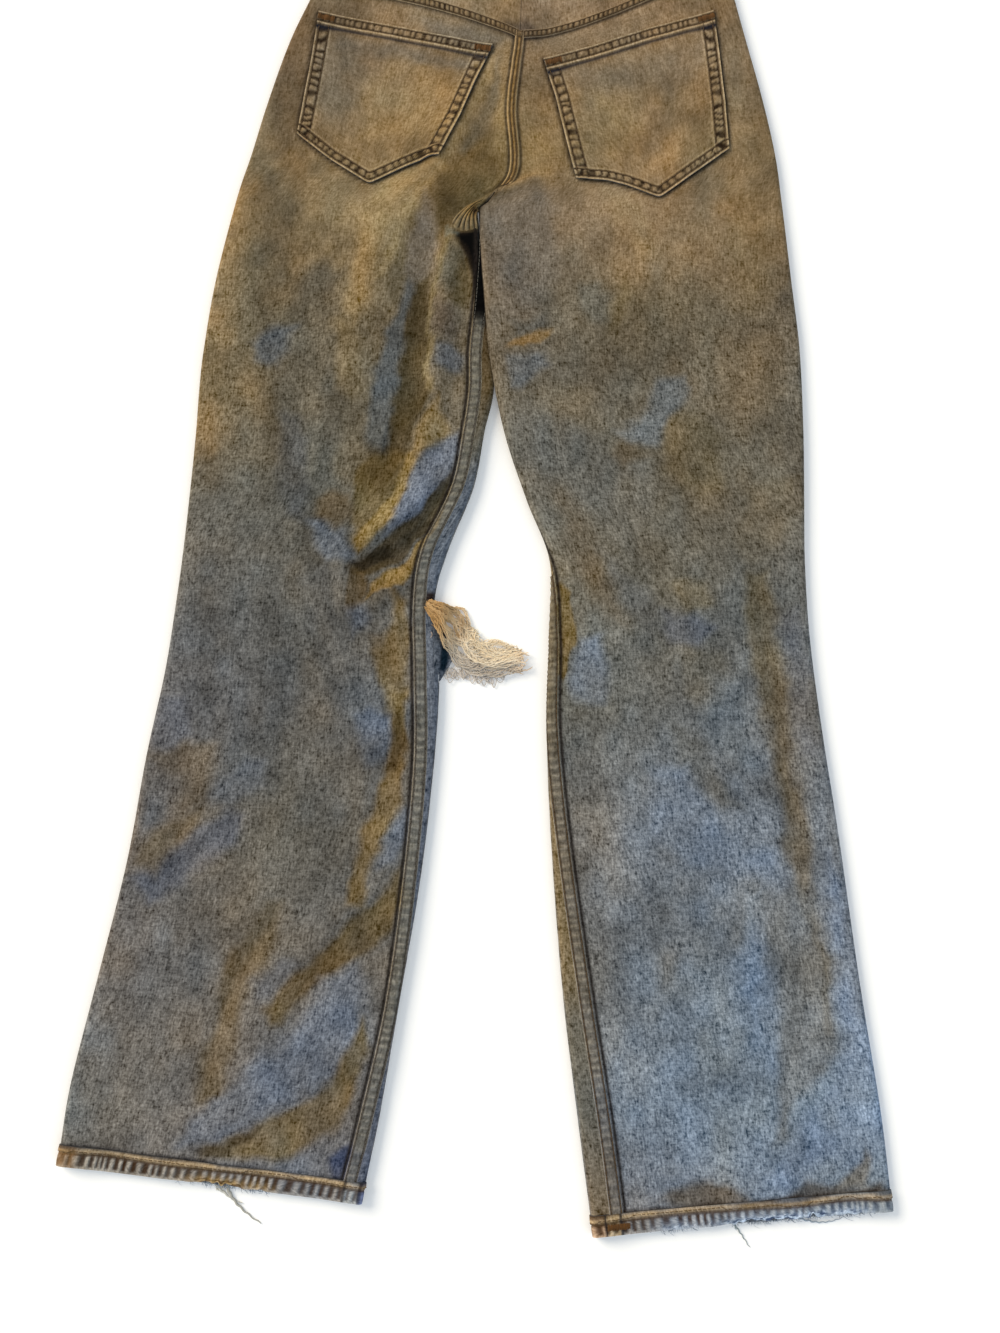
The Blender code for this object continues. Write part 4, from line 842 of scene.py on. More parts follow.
def sew(name, skin, normals, thickness, colour, material, inside=None, loop=False, across=0.0, along=0.0):
    """A closed wall of cloth about a grid of points. Its outer side has the given colours,
    and its UV map counts metres across and along the grid."""
    rows, columns = skin.shape[:2]
    outer = skin + normals * thickness / 2
    inner = skin - normals * thickness / 2
    index = np.arange(rows * columns).reshape(rows, columns)
    ring = np.concatenate([index, index[:, :1]], axis=1) if loop else index
    a, b, c, d = ring[:-1, :-1], ring[:-1, 1:], ring[1:, 1:], ring[1:, :-1]
    top = np.stack([a, b, c, d], axis=-1).reshape(-1, 4)
    count = rows * columns
    faces = [top, top[:, ::-1] + count]
    ends = [(ring[0, :-1], ring[0, 1:]), (ring[-1, 1:], ring[-1, :-1])]
    if not loop:
        ends += [(ring[1:, 0], ring[:-1, 0]), (ring[:-1, -1], ring[1:, -1])]
    for p, q in ends:
        faces.append(np.stack([q, p, p + count, q + count], axis=-1).reshape(-1, 4))
    faces = np.concatenate(faces)
    points = to_world(np.concatenate([outer.reshape(-1, 3), inner.reshape(-1, 3)]))
    p0, p1, p2, p3 = (points[faces[:, k]] for k in range(4))
    if np.sum(np.cross(p2 - p0, p3 - p1) * (p0 + p1 + p2 + p3)) < 0:
        faces = faces[:, ::-1]
    mesh = bpy.data.meshes.new(name)
    mesh.vertices.add(len(points))
    mesh.vertices.foreach_set("co", points.ravel())
    mesh.loops.add(faces.size)
    mesh.loops.foreach_set("vertex_index", faces.ravel())
    mesh.polygons.add(len(faces))
    mesh.polygons.foreach_set("loop_start", np.arange(len(faces)) * 4)
    mesh.update(calc_edges=True)
    mesh.validate()
    colour_and_shade = mesh.attributes.new("wash", "FLOAT_COLOR", "POINT")
    inner_colour = np.broadcast_to(linear(inside or INSIDE), colour.shape)
    colours = np.concatenate([colour.reshape(-1, 3), inner_colour.reshape(-1, 3)])
    grain = np.tile(0.60 + 0.40 * smooth((30 - skin[..., 1].ravel()) / 150), 2)
    colour_and_shade.data.foreach_set("color", np.concatenate([colours, grain[:, None]], axis=1).ravel())
    step_g = np.linalg.norm(np.diff(skin, axis=1), axis=-1)
    step_v = np.linalg.norm(np.diff(skin, axis=0), axis=-1)
    u = np.concatenate([np.zeros((rows, 1)), np.cumsum(step_g, axis=1)], axis=1)
    u = u - u[:, columns // 2][:, None]
    w = np.concatenate([[0], np.cumsum(step_v.mean(axis=1))])
    w = np.broadcast_to(w[:, None], u.shape)
    uv = np.stack([u + across, w + along], axis=-1).reshape(-1, 2) * 0.001
    layer = mesh.uv_layers.new(name="grain")
    layer.data.foreach_set("uv", np.concatenate([uv, uv + 0.013])[faces.ravel()].ravel())
    mesh.materials.append(material)
    mesh.shade_smooth()
    mesh.set_sharp_from_angle(angle=math.radians(60))
    piece = bpy.data.objects.new(name, mesh)
    scene.collection.objects.link(piece)
    return piece


def laid(points, rests_on, loop=False):
    """Works out the widths between a panel's points across it, and keeps nothing."""
    beyond = points[:, :1] if loop else points[:, -1:]
    across = np.linalg.norm(np.diff(points, axis=1, append=beyond), axis=-1)


def graded(low, high, fine, coarse, margin):
    """Fractions between 0 and 1: fine steps within the margins and coarse ones between, for
    rows whose ends are about these distances apart."""
    width = float(np.mean(high - low))
    edge = np.linspace(0, margin, int(margin / fine) + 1)
    middle = np.linspace(margin, width - margin, int((width - 2 * margin) / coarse) + 1)
    return np.concatenate([edge[:-1], middle[:-1], (width - edge)[::-1]]) / width


denim = denim_finish("worn_denim", 1.35)
SEAM_WORN, SEAM_DITCH, SEAM_SHADE = (178, 162, 132), (42, 30, 18), (28, 23, 20)


def along_line(corners, share):
    """Places at these shares of the length of a line through corners, slightly rounded."""
    corners = np.asarray(corners, float)
    length = np.concatenate([[0], np.cumsum(np.hypot(*np.diff(corners, axis=0).T))])
    fine = np.linspace(0, length[-1], 121)
    line = np.stack([np.interp(fine, length, corners[:, k]) for k in (0, 1)], axis=-1)
    for _ in range(8):
        line[1:-1] = (line[:-2] + 2 * line[1:-1] + line[2:]) / 4
    return np.stack([np.interp(share, fine / length[-1], line[:, k]) for k in (0, 1)], axis=-1)


def nearest_on(corners, x, y):
    """Distance of plan places from a line through corners, and how far along it they lie."""
    line = along_line(corners, np.linspace(0, 1, 61))
    nearest, where, done = np.full(x.shape, np.inf), np.zeros(x.shape), 0.0
    for start, end in zip(line, line[1:]):
        run = end - start
        t = np.clip(((x - start[0]) * run[0] + (y - start[1]) * run[1]) / (run @ run), 0, 1)
        away = np.hypot(x - start[0] - t * run[0], y - start[1] - t * run[1])
        where = np.where(away < nearest, done + t * math.hypot(*run), where)
        nearest = np.minimum(away, nearest)
        done += math.hypot(*run)
    return nearest, where


def bell(distance, width):
    return np.exp(-(distance / width) ** 2)


# Where the back pockets lie, which shade the panel round them.
Pocket = namedtuple("Pocket", "half mouth inner_side foot outer_side")
POCKETS = [
    Pocket(left, [(12, 141), (-60, 156), (-131, 170)], [(12, 141), (2, 118), (-14, 80), (-32, 45)],
           [(-32, 45), (-42, 43), (-60, 35), (-88, 21), (-120, 42), (-147, 64)],
           [(-131, 170), (-137, 126), (-143, 88), (-147, 64)]),
    Pocket(right, [(53, 129), (92, 140), (140, 156), (193, 171)], [(53, 129), (63, 96), (72, 56), (79, 26)],
           [(79, 26), (104, 24), (119, 20), (146, 9), (177, 32), (203, 51)],
           [(193, 171), (197, 134), (201, 92), (203, 51)]),
]
HEM_SHADE = {"left": (26, 26, 32), "right": (40, 28, 16)}   # shade on the cloth above each hem


def half_pocket(half):
    return POCKETS[HALVES.index(half)]


for half in HALVES:
    v = half.stations(1.0 + 0.003, half.crotch + YOKE - 0.003, 2.7)[:, None]
    start = half.inseam(v) + GAP / 2
    end = half.spans(v)[2] + SIDE_SEAM - GAP / 2
    share = graded(start, end, 0.8, 2.8, 14.0)[None, :]
    g = start + (end - start) * share
    points = half.place(g, v)
    colour = wash(points[..., 0], points[..., 1])
    on_leg = 1 - smooth(v - half.crotch)
    colour = blend(colour, SEAM_SHADE, 0.98 * bell(g - start - 1.7, 1.6) * on_leg)
    colour = blend(colour, SEAM_SHADE, 0.8 * bell(g - start - 4.8, 1.2) * (1 - on_leg))
    colour = blend(colour, SEAM_SHADE, 0.9 * bell((half.crotch + YOKE - v) * 52 - 6.2, 2.0))
    pocket = half_pocket(half)
    patch_edge = [*pocket.inner_side, *pocket.foot[1:], *pocket.outer_side[::-1][1:]]
    away, _ = nearest_on(patch_edge, points[..., 0], points[..., 1])
    colour = blend(colour, SEAM_SHADE, 0.95 * bell(away, 2.2))
    above_hem = (v - 1.0) * 50
    above = bell(above_hem, 1.0) * (0.6 + 0.4 * waves(points[..., 0], points[..., 1] * 0, 11, 141))
    colour = blend(colour, HEM_SHADE[half.name], np.clip(above, 0, 0.8))
    back = sew("back_leg_" + half.name, points, facing(points, half.side), DENIM, colour, denim)
    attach(back, "root")
    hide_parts("back_panel_" + half.name)
    laid(points, ["front_panel_" + half.name])

# ---------------------------------------------------------------- the yokes
# The shaped pieces between the back panels and the waistband, deepest at the centre back,
# of the same denim with its grain across.
for half in HALVES:
    v = half.stations(half.crotch + YOKE + 0.005, half.crotch + WAIST - 0.005, 2.0)[:, None]
    end = half.spans(v)[2] + SIDE_SEAM - GAP / 2
    share = graded(0 * end + GAP / 2, end, 1.3, 2.2, 12.0)[None, :]
    points = half.place(GAP / 2 + (end - GAP / 2) * share, v)
    colour = wash(points[..., 0], points[..., 1])
    yoke = sew("seat_yoke_" + half.name, points, facing(points, half.side), DENIM, colour, denim, across=300)
    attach(yoke, "root")
    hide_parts("yoke_" + half.name)
    laid(points, ["front_panel_" + half.name])

# ---------------------------------------------------------------- the back pockets
# Five-sided patches with their edges turned under, sewn on with two rows a finger's width
# apart along the sides and closer along the foot. The mouth has its own folded hem.
POCKET_CLOTH = 1.2
SIDE_ROWS = (2.4, 10.2)       # the stitch rows' distances from a pocket's side edges
FOOT_ROWS = (2.2, 7.6)
MOUTH_HEM = 9.6               # depth of the folded hem at a pocket's mouth
MOUTH_ROWS = (1.8, 7.6)


def lie_on(half, x, y):
    """The distances and stations of plan places on the upper layer."""
    g = np.full(x.shape, 60.0)
    v = np.interp(y, half.outer_y, np.arange(len(half.outer_y)))
    for _ in range(14):
        here = half.place(g, v)[..., :2]
        by_g = half.place(g + 1.0, v)[..., :2] - here
        by_v = (half.place(g, v + 0.02)[..., :2] - here) / 0.02
        short_x, short_y = x - here[..., 0], y - here[..., 1]
        scale = by_g[..., 0] * by_v[..., 1] - by_g[..., 1] * by_v[..., 0]
        g = g + np.clip((short_x * by_v[..., 1] - short_y * by_v[..., 0]) / scale, -40, 40)
        v = v + np.clip((by_g[..., 0] * short_y - by_g[..., 1] * short_x) / scale, -0.6, 0.6)
    return g, v


TACK_LENGTH = 14.0


def on_skin(skin, normals, places):
    """Points and normals of a skin nearest to plan places."""
    flat, directions = skin.reshape(-1, 3), normals.reshape(-1, 3)
    found = [int(np.argmin((flat[:, 0] - x) ** 2 + (flat[:, 1] - y) ** 2)) for x, y in places]
    points = flat[found].copy()
    points[:, :2] = places
    return points, directions[found]


def seamed(away, along, rows, seed, pitch=7.0, depth=0.5, rungs=1.0):
    """Relief and tints of cloth sewn down in two rows, by the distance from its edge and the
    place along it: height, how worn it is and how dark, each from 0 to 1."""
    first, second = rows
    middle = (first + second) / 2
    phase = along / pitch + 0.55 * waves(along, 0 * along, 17, seed) + 0.25 * waves(along, away, 5, seed + 1)
    pucker = np.cos(2 * math.pi * phase)
    between = smooth((away - first) / 1.1) * smooth((second - away) / 1.1)
    ditch = bell(away - first, 0.85) + bell(away - second, 0.85)
    height = depth * pucker * bell(away - middle, (second - first) * 0.42) - 0.35 * ditch
    uneven = 0.6 + 0.4 * waves(along, away, 9, seed + 2)
    edge = bell(away - 0.5, 0.7) + 0.4 * bell(away - second - 1.7, 0.7)
    worn = edge * (0.6 + 0.4 * uneven) + 0.4 * between * np.clip(pucker, 0, 1) * uneven
    # dark is partly unworn cloth and partly painted shade, in the ditches and between puckers
    dark = 0.95 * ditch + rungs * between * np.clip(0.15 - 1.2 * pucker, 0, 1) * (0.5 + 0.6 * uneven)
    return height, np.clip(worn, 0, 1), np.clip(dark, 0, 1)


def tinted(colour, worn, dark, pale=SEAM_WORN, ditch=SEAM_DITCH):
    """The wash, worn paler on raised seams and darkened in their ditches, partly painted shade."""
    paler = linear(pale).mean() / np.maximum(colour.mean(-1), 1e-4)
    warmth = 0.35 * linear(pale) + 0.65 * colour * paler[..., None]
    colour = colour + (warmth - colour) * np.clip(worn, 0, 1)[..., None]
    return colour + (linear(ditch) - colour) * np.clip(dark, 0, 1)[..., None]


seamed_denim = denim_finish("seamed_denim", 0.9, pale=0.35)
thread_rows = []           # (points, normals) of every row of stitches, sewn at the end
bar_tacks = []

for pocket in POCKETS:
    half = pocket.half
    share_u = graded(np.zeros(1), np.full(1, 138.0), 0.6, 1.9, 14.0)
    share_t = graded(np.zeros(1), np.full(1, 122.0), 0.6, 1.9, 15.0)
    top, foot = along_line(pocket.mouth, share_u), along_line(pocket.foot, share_u)
    side_a = along_line(pocket.inner_side, share_t)
    side_b = along_line(pocket.outer_side, share_t)
    u, t = share_u[None, :, None], share_t[:, None, None]
    ends_a = (1 - t) * top[0] + t * foot[0]
    ends_b = (1 - t) * top[-1] + t * foot[-1]
    plan = ((1 - t) * top[None] + t * foot[None] + (1 - u) * (side_a[:, None] - ends_a)
            + u * (side_b[:, None] - ends_b))
    x, y = plan[..., 0], plan[..., 1]
    g, v = lie_on(half, x, y)
    under_pocket = half.place(g, v)
    flat_normals = facing(under_pocket, -half.side)
    flat_normals = flat_normals * np.sign(flat_normals[..., 2:3])
    colour = wash(x, y)
    relief = np.full(x.shape, 0.25)
    mouth_away, mouth_along = nearest_on(pocket.mouth, x, y)
    for line, rows, seed in ((pocket.inner_side, SIDE_ROWS, 31), (pocket.outer_side, SIDE_ROWS, 41),
                             (pocket.foot, FOOT_ROWS, 51)):
        away, along = nearest_on(line, x, y)
        height, worn, dark = seamed(away, along, rows, seed)
        below = smooth((mouth_away - MOUTH_HEM) / 3)
        relief += height * below + 0.35 * (1 - smooth((away - rows[1]) / 2.5)) * below
        colour = tinted(colour, worn * (0.4 + 0.6 * below), dark * below)
    height, worn, dark = seamed(mouth_away, mouth_along, MOUTH_ROWS, 61, pitch=5.0)
    hem = 1 - smooth((mouth_away - MOUTH_HEM) / 1.6)
    relief += height * hem + 0.75 * hem
    fold_edge = bell(mouth_away - MOUTH_HEM + 0.2, 0.7) * 0.8
    colour = tinted(colour, worn * hem + fold_edge, dark * hem)
    by_corner = bell(mouth_along, 14) + bell(mouth_along - mouth_along.max(), 14)
    shadow = bell(mouth_away - MOUTH_HEM - 2.2 - by_corner, 1.5 + 1.3 * by_corner) * (0.82 + 0.18 * by_corner)
    colour = blend(colour, (22, 25, 36), np.clip(shadow, 0, 1))
    lift = (DENIM + POCKET_CLOTH) / 2 + 0.1
    skin = under_pocket + flat_normals * (lift + relief)[..., None]
    outer_side = skin + flat_normals * POCKET_CLOTH / 2
    heart = np.array([x.mean(), y.mean()])
    edges = [(pocket.inner_side, row) for row in SIDE_ROWS] + [(pocket.outer_side, row) for row in SIDE_ROWS]
    edges += [(pocket.foot, row) for row in FOOT_ROWS] + [(pocket.mouth, row) for row in MOUTH_ROWS]
    for line, row in edges:
        length = float(np.hypot(*np.diff(along_line(line, np.linspace(0, 1, 40)), axis=0).T).sum())
        trim = (row + 1.0) / length
        places = along_line(line, np.linspace(trim, 1 - trim, int(length / 1.5)))
        run = np.gradient(places, axis=0)
        inward = np.stack([-run[:, 1], run[:, 0]], axis=-1) / np.hypot(run[:, 0], run[:, 1])[:, None]
        inward = inward * np.sign(np.sum(inward * (heart - places), axis=-1).mean())
        thread_rows.append(on_skin(outer_side, flat_normals, places + inward * row))
    for end, mate in ((0, 1), (-1, -2)):
        corner, toward = np.array(pocket.mouth[end], float), np.array(pocket.mouth[mate], float)
        run = (toward - corner) / np.linalg.norm(toward - corner)
        inward = np.array([-run[1], run[0]]) * np.sign((-run[1], run[0]) @ (heart - corner))
        places = corner + run * np.linspace(1.2, TACK_LENGTH, 40)[:, None] + inward * 4.4
        bar_tacks.append(on_skin(outer_side, flat_normals, places))
    patch = sew("pocket_" + half.name, skin, flat_normals, POCKET_CLOTH, colour, denim, across=150, along=700)
    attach(patch, "root")
    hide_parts("back_pocket_" + half.name)
    laid(skin, ["back_panel_" + half.name])

# ---------------------------------------------------------------- the front of each leg
# The front panels lie underneath, and come up over the inner edge to the inseam. Each has
# the curved mouth of a front pocket, and the left one is torn across the knee, where the
# warp has gone and the edges are frayed.
MOUTH_WIDTH, MOUTH_DEPTH, MOUTH_PAST_SEAM = 52.0, 82.0, 4.0
Rip = namedtuple("Rip", "across half_height")
RIP = [Rip(-14, 29), Rip(14, 30), Rip(45, 24), Rip(90, 17), Rip(124, 2)]
RIP_EDGE_X, RIP_Y = -27.0, -354.0
# What shows of the front beyond each inseam: height and colour.
# Near the crotch the left one turns near black: painted shade in the gap between the legs.
STRIPS = {
    "left": [(-780, (100, 106, 120)), (-420, (96, 104, 118)), (-230, (94, 104, 118)),
             (-200, (98, 96, 88)), (-150, (88, 72, 44)), (-90, (60, 44, 24)), (-60, (12, 9, 6))],
    "right": [(-800, (120, 100, 70)), (-700, (96, 92, 80)), (-640, (100, 94, 80)),
              (-600, (122, 104, 70)), (-300, (112, 92, 56))],
}
KNEE_SPOT = [(-42, -315), (-30, -314), (-31, -323), (-37, -326), (-42, -322)]   # a dark spot over the tear
FRONT_CUT = (-2.0, 5.1)       # heights of a cut that goes through the front layer only


def ragged(outline, pace, reach, seed):
    """The outline with points this far apart, each moved a little, as a torn edge."""
    found = []
    for k, (start, end) in enumerate(zip(outline, outline[1:] + outline[:1])):
        steps = max(int(math.dist(start, end) / pace), 1)
        for step in range(steps):
            t = step / steps
            x, y = start[0] + (end[0] - start[0]) * t, start[1] + (end[1] - start[1]) * t
            where = np.array([k * 40.0 + step * 7.3])
            found.append((x + reach * float(waves(where, where * 0, 5, seed)[0]),
                          y + reach * float(waves(where, where * 0, 5, seed + 1)[0])))
    return found


def cut(piece, outline, low, high):
    """Cuts an upright hole with this plan outline through a piece."""
    tool = bmesh.new()
    base = [tool.verts.new(to_world((x, y, low))) for x, y in outline]
    face = tool.faces.new(base)
    grown = bmesh.ops.extrude_face_region(tool, geom=[face])
    moved = [item for item in grown["geom"] if isinstance(item, bmesh.types.BMVert)]
    bmesh.ops.translate(tool, verts=moved, vec=(0, 0, (high - low) * 0.001))
    bmesh.ops.recalc_face_normals(tool, faces=tool.faces[:])
    mesh = bpy.data.meshes.new("cutter")
    tool.to_mesh(mesh)
    tool.free()
    cutter = bpy.data.objects.new("cutter", mesh)
    scene.collection.objects.link(cutter)
    modifier = piece.modifiers.new("cut", "BOOLEAN")
    modifier.solver = "EXACT"
    modifier.object = cutter
    graph = bpy.context.evaluated_depsgraph_get()
    made = bpy.data.meshes.new_from_object(piece.evaluated_get(graph))
    piece.modifiers.clear()
    old = piece.data
    piece.data = made
    bpy.data.meshes.remove(old)
    bpy.data.objects.remove(cutter)
    bpy.data.meshes.remove(mesh)


for half in HALVES:
    v = half.stations(1.0 + 0.003, half.crotch + WAIST - 0.005, 3.8)[:, None]
    start = GAP / 2 - half.inseam(v)
    end = half.spans(v, True)[2] - SIDE_SEAM - GAP / 2
    share = graded(start, end, 1.7, 4.2, 40.0)[None, :]
    points = half.place(start + (end - start) * share, v, under=True)
    normals = facing(points, -half.side)
    colour = wash(points[..., 0], points[..., 1])
    on_top = smooth((-(start + (end - start) * share)) / 3.0)
    heights, tones = zip(*STRIPS[half.name])
    strip = np.stack([np.interp(points[..., 1], heights, linear(tones)[:, k]) for k in range(3)], axis=-1)
    colour = colour + (strip - colour) * (0.8 * on_top)[..., None]
    if half is left:
        spot = inside_outline(KNEE_SPOT, 3.0, points[..., 0], points[..., 1])
        colour = blend(colour, (38, 26, 20), 0.95 * spot * on_top)
    front = sew("front_leg_" + half.name, points, normals, DENIM, colour, denim, along=1400)
    seam = half.spans(half.crotch + WAIST, True)[2] - SIDE_SEAM
    corner_x, corner_y, _ = half.place(seam + MOUTH_PAST_SEAM, half.crotch + WAIST, under=True)
    angles = np.linspace(0, math.pi / 2, 17)
    mouth = [(corner_x - half.side * MOUTH_WIDTH * math.cos(a), corner_y + 3 - MOUTH_DEPTH * math.sin(a))
             for a in angles]
    mouth += [(corner_x + half.side * 3, corner_y - 79), (corner_x + half.side * 3, corner_y + 12),
              (corner_x - half.side * MOUTH_WIDTH, corner_y + 12)]
    cut(front, mouth, *FRONT_CUT)
    if half is left:
        upper = [(RIP_EDGE_X - row.across, RIP_Y + row.half_height) for row in RIP]
        lower = [(RIP_EDGE_X - row.across, RIP_Y - row.half_height) for row in RIP]
        cut(front, ragged(upper + lower[::-1], 3.0, 1.6, 71), *FRONT_CUT)
    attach(front, "root")
    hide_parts("front_panel_" + half.name)
    laid(points, [])

# ---------------------------------------------------------------- the front pocket facings
# The denim seen inside the mouth of each front pocket, one layer further in.
FACING_WIDTH = 73.0
for half in HALVES:
    v = half.stations(half.crotch + HIGH - 0.3, half.crotch + WAIST - 0.005, 3.0)[:, None]
    seam = half.spans(v, True)[2] - SIDE_SEAM
    g = seam - GAP / 2 - (FACING_WIDTH - GAP / 2) * np.linspace(1, 0, 26)[None, :]
    points = half.place(g, v, under=True)
    normals = facing(points, -half.side)
    skin = points - normals * (DENIM + GAP)
    colour = wash(points[..., 0], points[..., 1], patches=False)
    inner = sew("front_pocket_facing_" + half.name, skin, normals, DENIM, colour, denim, along=2400)
    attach(inner, "root")
    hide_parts("pocket_facing_" + half.name)
    laid(skin, ["front_panel_" + half.name])

# ---------------------------------------------------------------- the fly
# A metal zip on cotton tape behind the centre front, closed, with its slider pulled up to
# the waistband, and the shield of denim behind it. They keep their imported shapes.


def plain_finish(name, colour, rough, metallic=0.0, size=900.0, uneven=0.35):
    """A finish whose colour and roughness vary finely over the piece."""
    made = bpy.data.materials.new(name)
    made.use_nodes = True
    tree = made.node_tree
    place = Socket.node(tree, "ShaderNodeTexCoord", output=3)
    grit = Socket.node(tree, "ShaderNodeTexNoise", None, {"Vector": place, "Scale": size, "Detail": 3.0})
    stain = Socket.node(tree, "ShaderNodeTexNoise", None, {"Vector": place, "Scale": size / 9, "Detail": 2.0})
    tone = (grit - 0.5) * uneven + (stain - 0.5) * uneven + 1.0
    base = Socket.node(tree, "ShaderNodeVectorMath", {"operation": "SCALE"}, {
        0: tuple(linear(colour)), "Scale": tone})
    bump = Socket.node(tree, "ShaderNodeBump", None, {"Strength": 0.35, "Distance": 0.0003, "Height": grit})
    shader = tree.nodes["Principled BSDF"]
    tree.links.new(base.socket, shader.inputs["Base Color"])
    tree.links.new(bump.socket, shader.inputs["Normal"])
    tree.links.new((stain * 0.3 + (rough - 0.15)).socket, shader.inputs["Roughness"])
    shader.inputs["Metallic"].default_value = metallic
    shader.inputs["Specular IOR Level"].default_value = 0.3
    return made


def dressed(node, material):
    """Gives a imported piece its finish."""
    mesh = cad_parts[node].data
    mesh.materials.clear()
    mesh.materials.append(material)


zip_tape = plain_finish("zip_tape", (112, 98, 74), 0.85, size=1800)
copper = plain_finish("aged_copper", (178, 122, 84), 0.42, metallic=0.9)
shield_denim = plain_finish("shield_denim", (112, 104, 90), 0.9, size=700, uneven=0.6)
dressed("fly_zip", zip_tape)
dressed("zip_slider", copper)
dressed("fly_shield", shield_denim)
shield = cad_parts["fly_shield"]
shield_box = np.ptp([corner[:] for corner in shield.bound_box], axis=0)

# ---------------------------------------------------------------- the waistband
# A doubled strip of denim from the buttoned end under the centre front, round the back,
# to the end that lies inside. Its edges are rounded by the turned cloth.
BAND_OVERLAP, BAND_UNDERLAP = 13.0, 17.0
CLIMB_END, CLIMB_WIDTH = 44.0, 26.0


def band_half(half, share_v, lap):
    """Points of one side of the waistband, from its end under the front to the centre back."""
    bottom = half.crotch + WAIST + 0.005
    v = (bottom + (half.crotch + TOP - bottom) * share_v)[:, None]
    end = float(half.spans(half.crotch + WAIST, True)[2])
    h = np.concatenate([np.linspace(-lap, 0, 6)[:-1], np.linspace(0, end, 72)])[None, :]
    front = half.place(h, v, True, BAND_CLOTH)
    front[..., 1] += np.where(h < 0, 2 * GAP, 0)
    if lap == BAND_UNDERLAP:
        front[..., 2] += UNDERLAP_LIFT * smooth((CLIMB_END - h) / CLIMB_WIDTH)
    g = np.linspace(float(half.spans(half.crotch + WAIST)[2]), 0, 72)[None, 1:]
    return np.concatenate([front, half.place(g, v, False, BAND_CLOTH)], axis=1)


share_v = np.linspace(0, 1, 25)
points = np.concatenate([band_half(left, share_v, BAND_OVERLAP),
                         band_half(right, share_v, BAND_UNDERLAP)[:, -2::-1]], axis=1)
normals = facing(points, LEFT)
from_middle = points - points.mean(axis=(0, 1))
normals = normals * np.sign(np.sum(normals * from_middle * (0.02, 0.02, 1), axis=-1))[..., None]
steps = np.linalg.norm(np.diff(points[12], axis=0, prepend=points[12][:1]), axis=1)
length = np.cumsum(steps)[None, :] + 0 * points[..., 0]
from_edge = np.minimum(share_v, 1 - share_v)[:, None] * 38.0 + 0 * length
height, worn, dark = seamed(from_edge, length, (1.8, 4.6), 81, pitch=5.0)
colour = tinted(wash(points[..., 0], points[..., 1]), worn, dark * 0.8)
for row in (3, 21):
    thread_rows.append((points[row] + normals[row] * BAND_CLOTH / 2, normals[row]))
band = sew("waist_band", points + normals * height[..., None] * 0.6, normals, BAND_CLOTH, colour,
           seamed_denim, across=900)
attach(band, "root")
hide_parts("waistband")
laid(points, [])

# ---------------------------------------------------------------- the button and belt loops
# A shank button of aged copper fastens the band underneath. Five folded strips, two at
# the front and three at the back, are tacked over the band.
dressed("waist_button", copper)
LOOP_WIDTH, LOOP_CLOTH = 12.0, 2.4
LOOPS = [("belt_loop_centre", right, 0.0, False)]
for half in HALVES:
    LOOPS += [("belt_loop_back_" + half.name, half, 92.0, False),
              ("belt_loop_front_" + half.name, half, 88.0, True)]
for node, half, distance, under in LOOPS:
    v = (half.crotch + WAIST + np.linspace(-0.16, 0.98, 45))[:, None]
    across = np.linspace(-1, 1, 15)[None, :]
    points = half.place(distance + across * LOOP_WIDTH / 2, v, under, BAND_CLOTH)
    normals = facing(points, half.side)
    normals = normals * np.where(under, -1, 1) * np.sign(np.mean(normals[..., 2]))
    lift = (BAND_CLOTH + LOOP_CLOTH) / 2 + GAP
    along = np.linspace(0, 48, 45)[:, None] + 0 * across
    away = (1 - np.abs(across)) * LOOP_WIDTH / 2 + 0 * along
    height, worn, dark = seamed(away, along, (1.6, 4.2), 91, pitch=4.6)
    rounding = -0.5 * np.abs(across) ** 6 + 0 * along
    skin = points + normals * (lift + (height * 0.5 + rounding))[..., None]
    colour = tinted(wash(points[..., 0], points[..., 1]), worn, dark)
    loop = sew(node.replace("belt_loop", "loop"), skin, normals, LOOP_CLOTH, colour, seamed_denim, across=60)
    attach(loop, "root")
    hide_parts(node)
    laid(skin, ["waistband"])

# ---------------------------------------------------------------- the felled seams
# The inseams, the centre-back seam and the yoke seams are folded into each other and sewn
# down in two rows. The doubled cloth stands proud, worn pale along its edges, with ditches
# beside it darkened partly by painted shade.
BAND_PROUD = 1.2      # height of the doubled cloth
SEAM_ROW = 1.7        # the stitch rows lie this far inside its edges
STRIP = 1.0           # thickness of the strip


def felled(name, points, normals, width, seed, pitch=6.5, rungs=1.0, tint=None, rows=thread_rows,
           inset=SEAM_ROW):
    """A strip of doubled cloth along a grid whose columns run across it, width wide. It tapers
    down into the cloth at both edges."""
    columns = points.shape[1]
    across = np.linspace(0, width, columns)[None, :] + 0 * points[..., 0]
    step = np.linalg.norm(np.diff(points[:, columns // 2], axis=0), axis=1)
    along = np.concatenate([[0], np.cumsum(step)])[:, None] + 0 * across
    away = np.minimum(across, width - across)
    height, worn, dark = seamed(away, along, (inset, width - inset), seed, pitch, 0.25 + 0.25 * rungs, rungs)
    crown = BAND_PROUD * smooth(away / 1.2) - 0.35
    colour = wash(points[..., 0], points[..., 1])
    if tint:
        colour = blend(colour, tint[0], tint[1] * (0.3 + 0.7 * smooth((away - inset + 0.6) / 1.2)))
    colour = tinted(colour, np.clip(worn, 0, 1), dark)
    # Painted deep shade: the left inseam goes dark where it runs up into the gap by the crotch.
    if name == "inseam_left":
        colour = blend(colour, PAINTED_DEEP_SHADE, smooth((points[..., 1] + 104) / 18))
    skin = points + normals * (crown + height)[..., None]
    strip = sew(name, skin, normals, STRIP, colour, seamed_denim, across=40)
    for row in (inset, width - inset):
        column = int(round(row / width * (columns - 1)))
        rows.append((skin[:, column] + normals[:, column] * STRIP / 2, normals[:, column]))
    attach(strip, "root")
    if width > 10:
        laid(skin, ["back_panel_left" if "left" in name else "back_panel_right"])


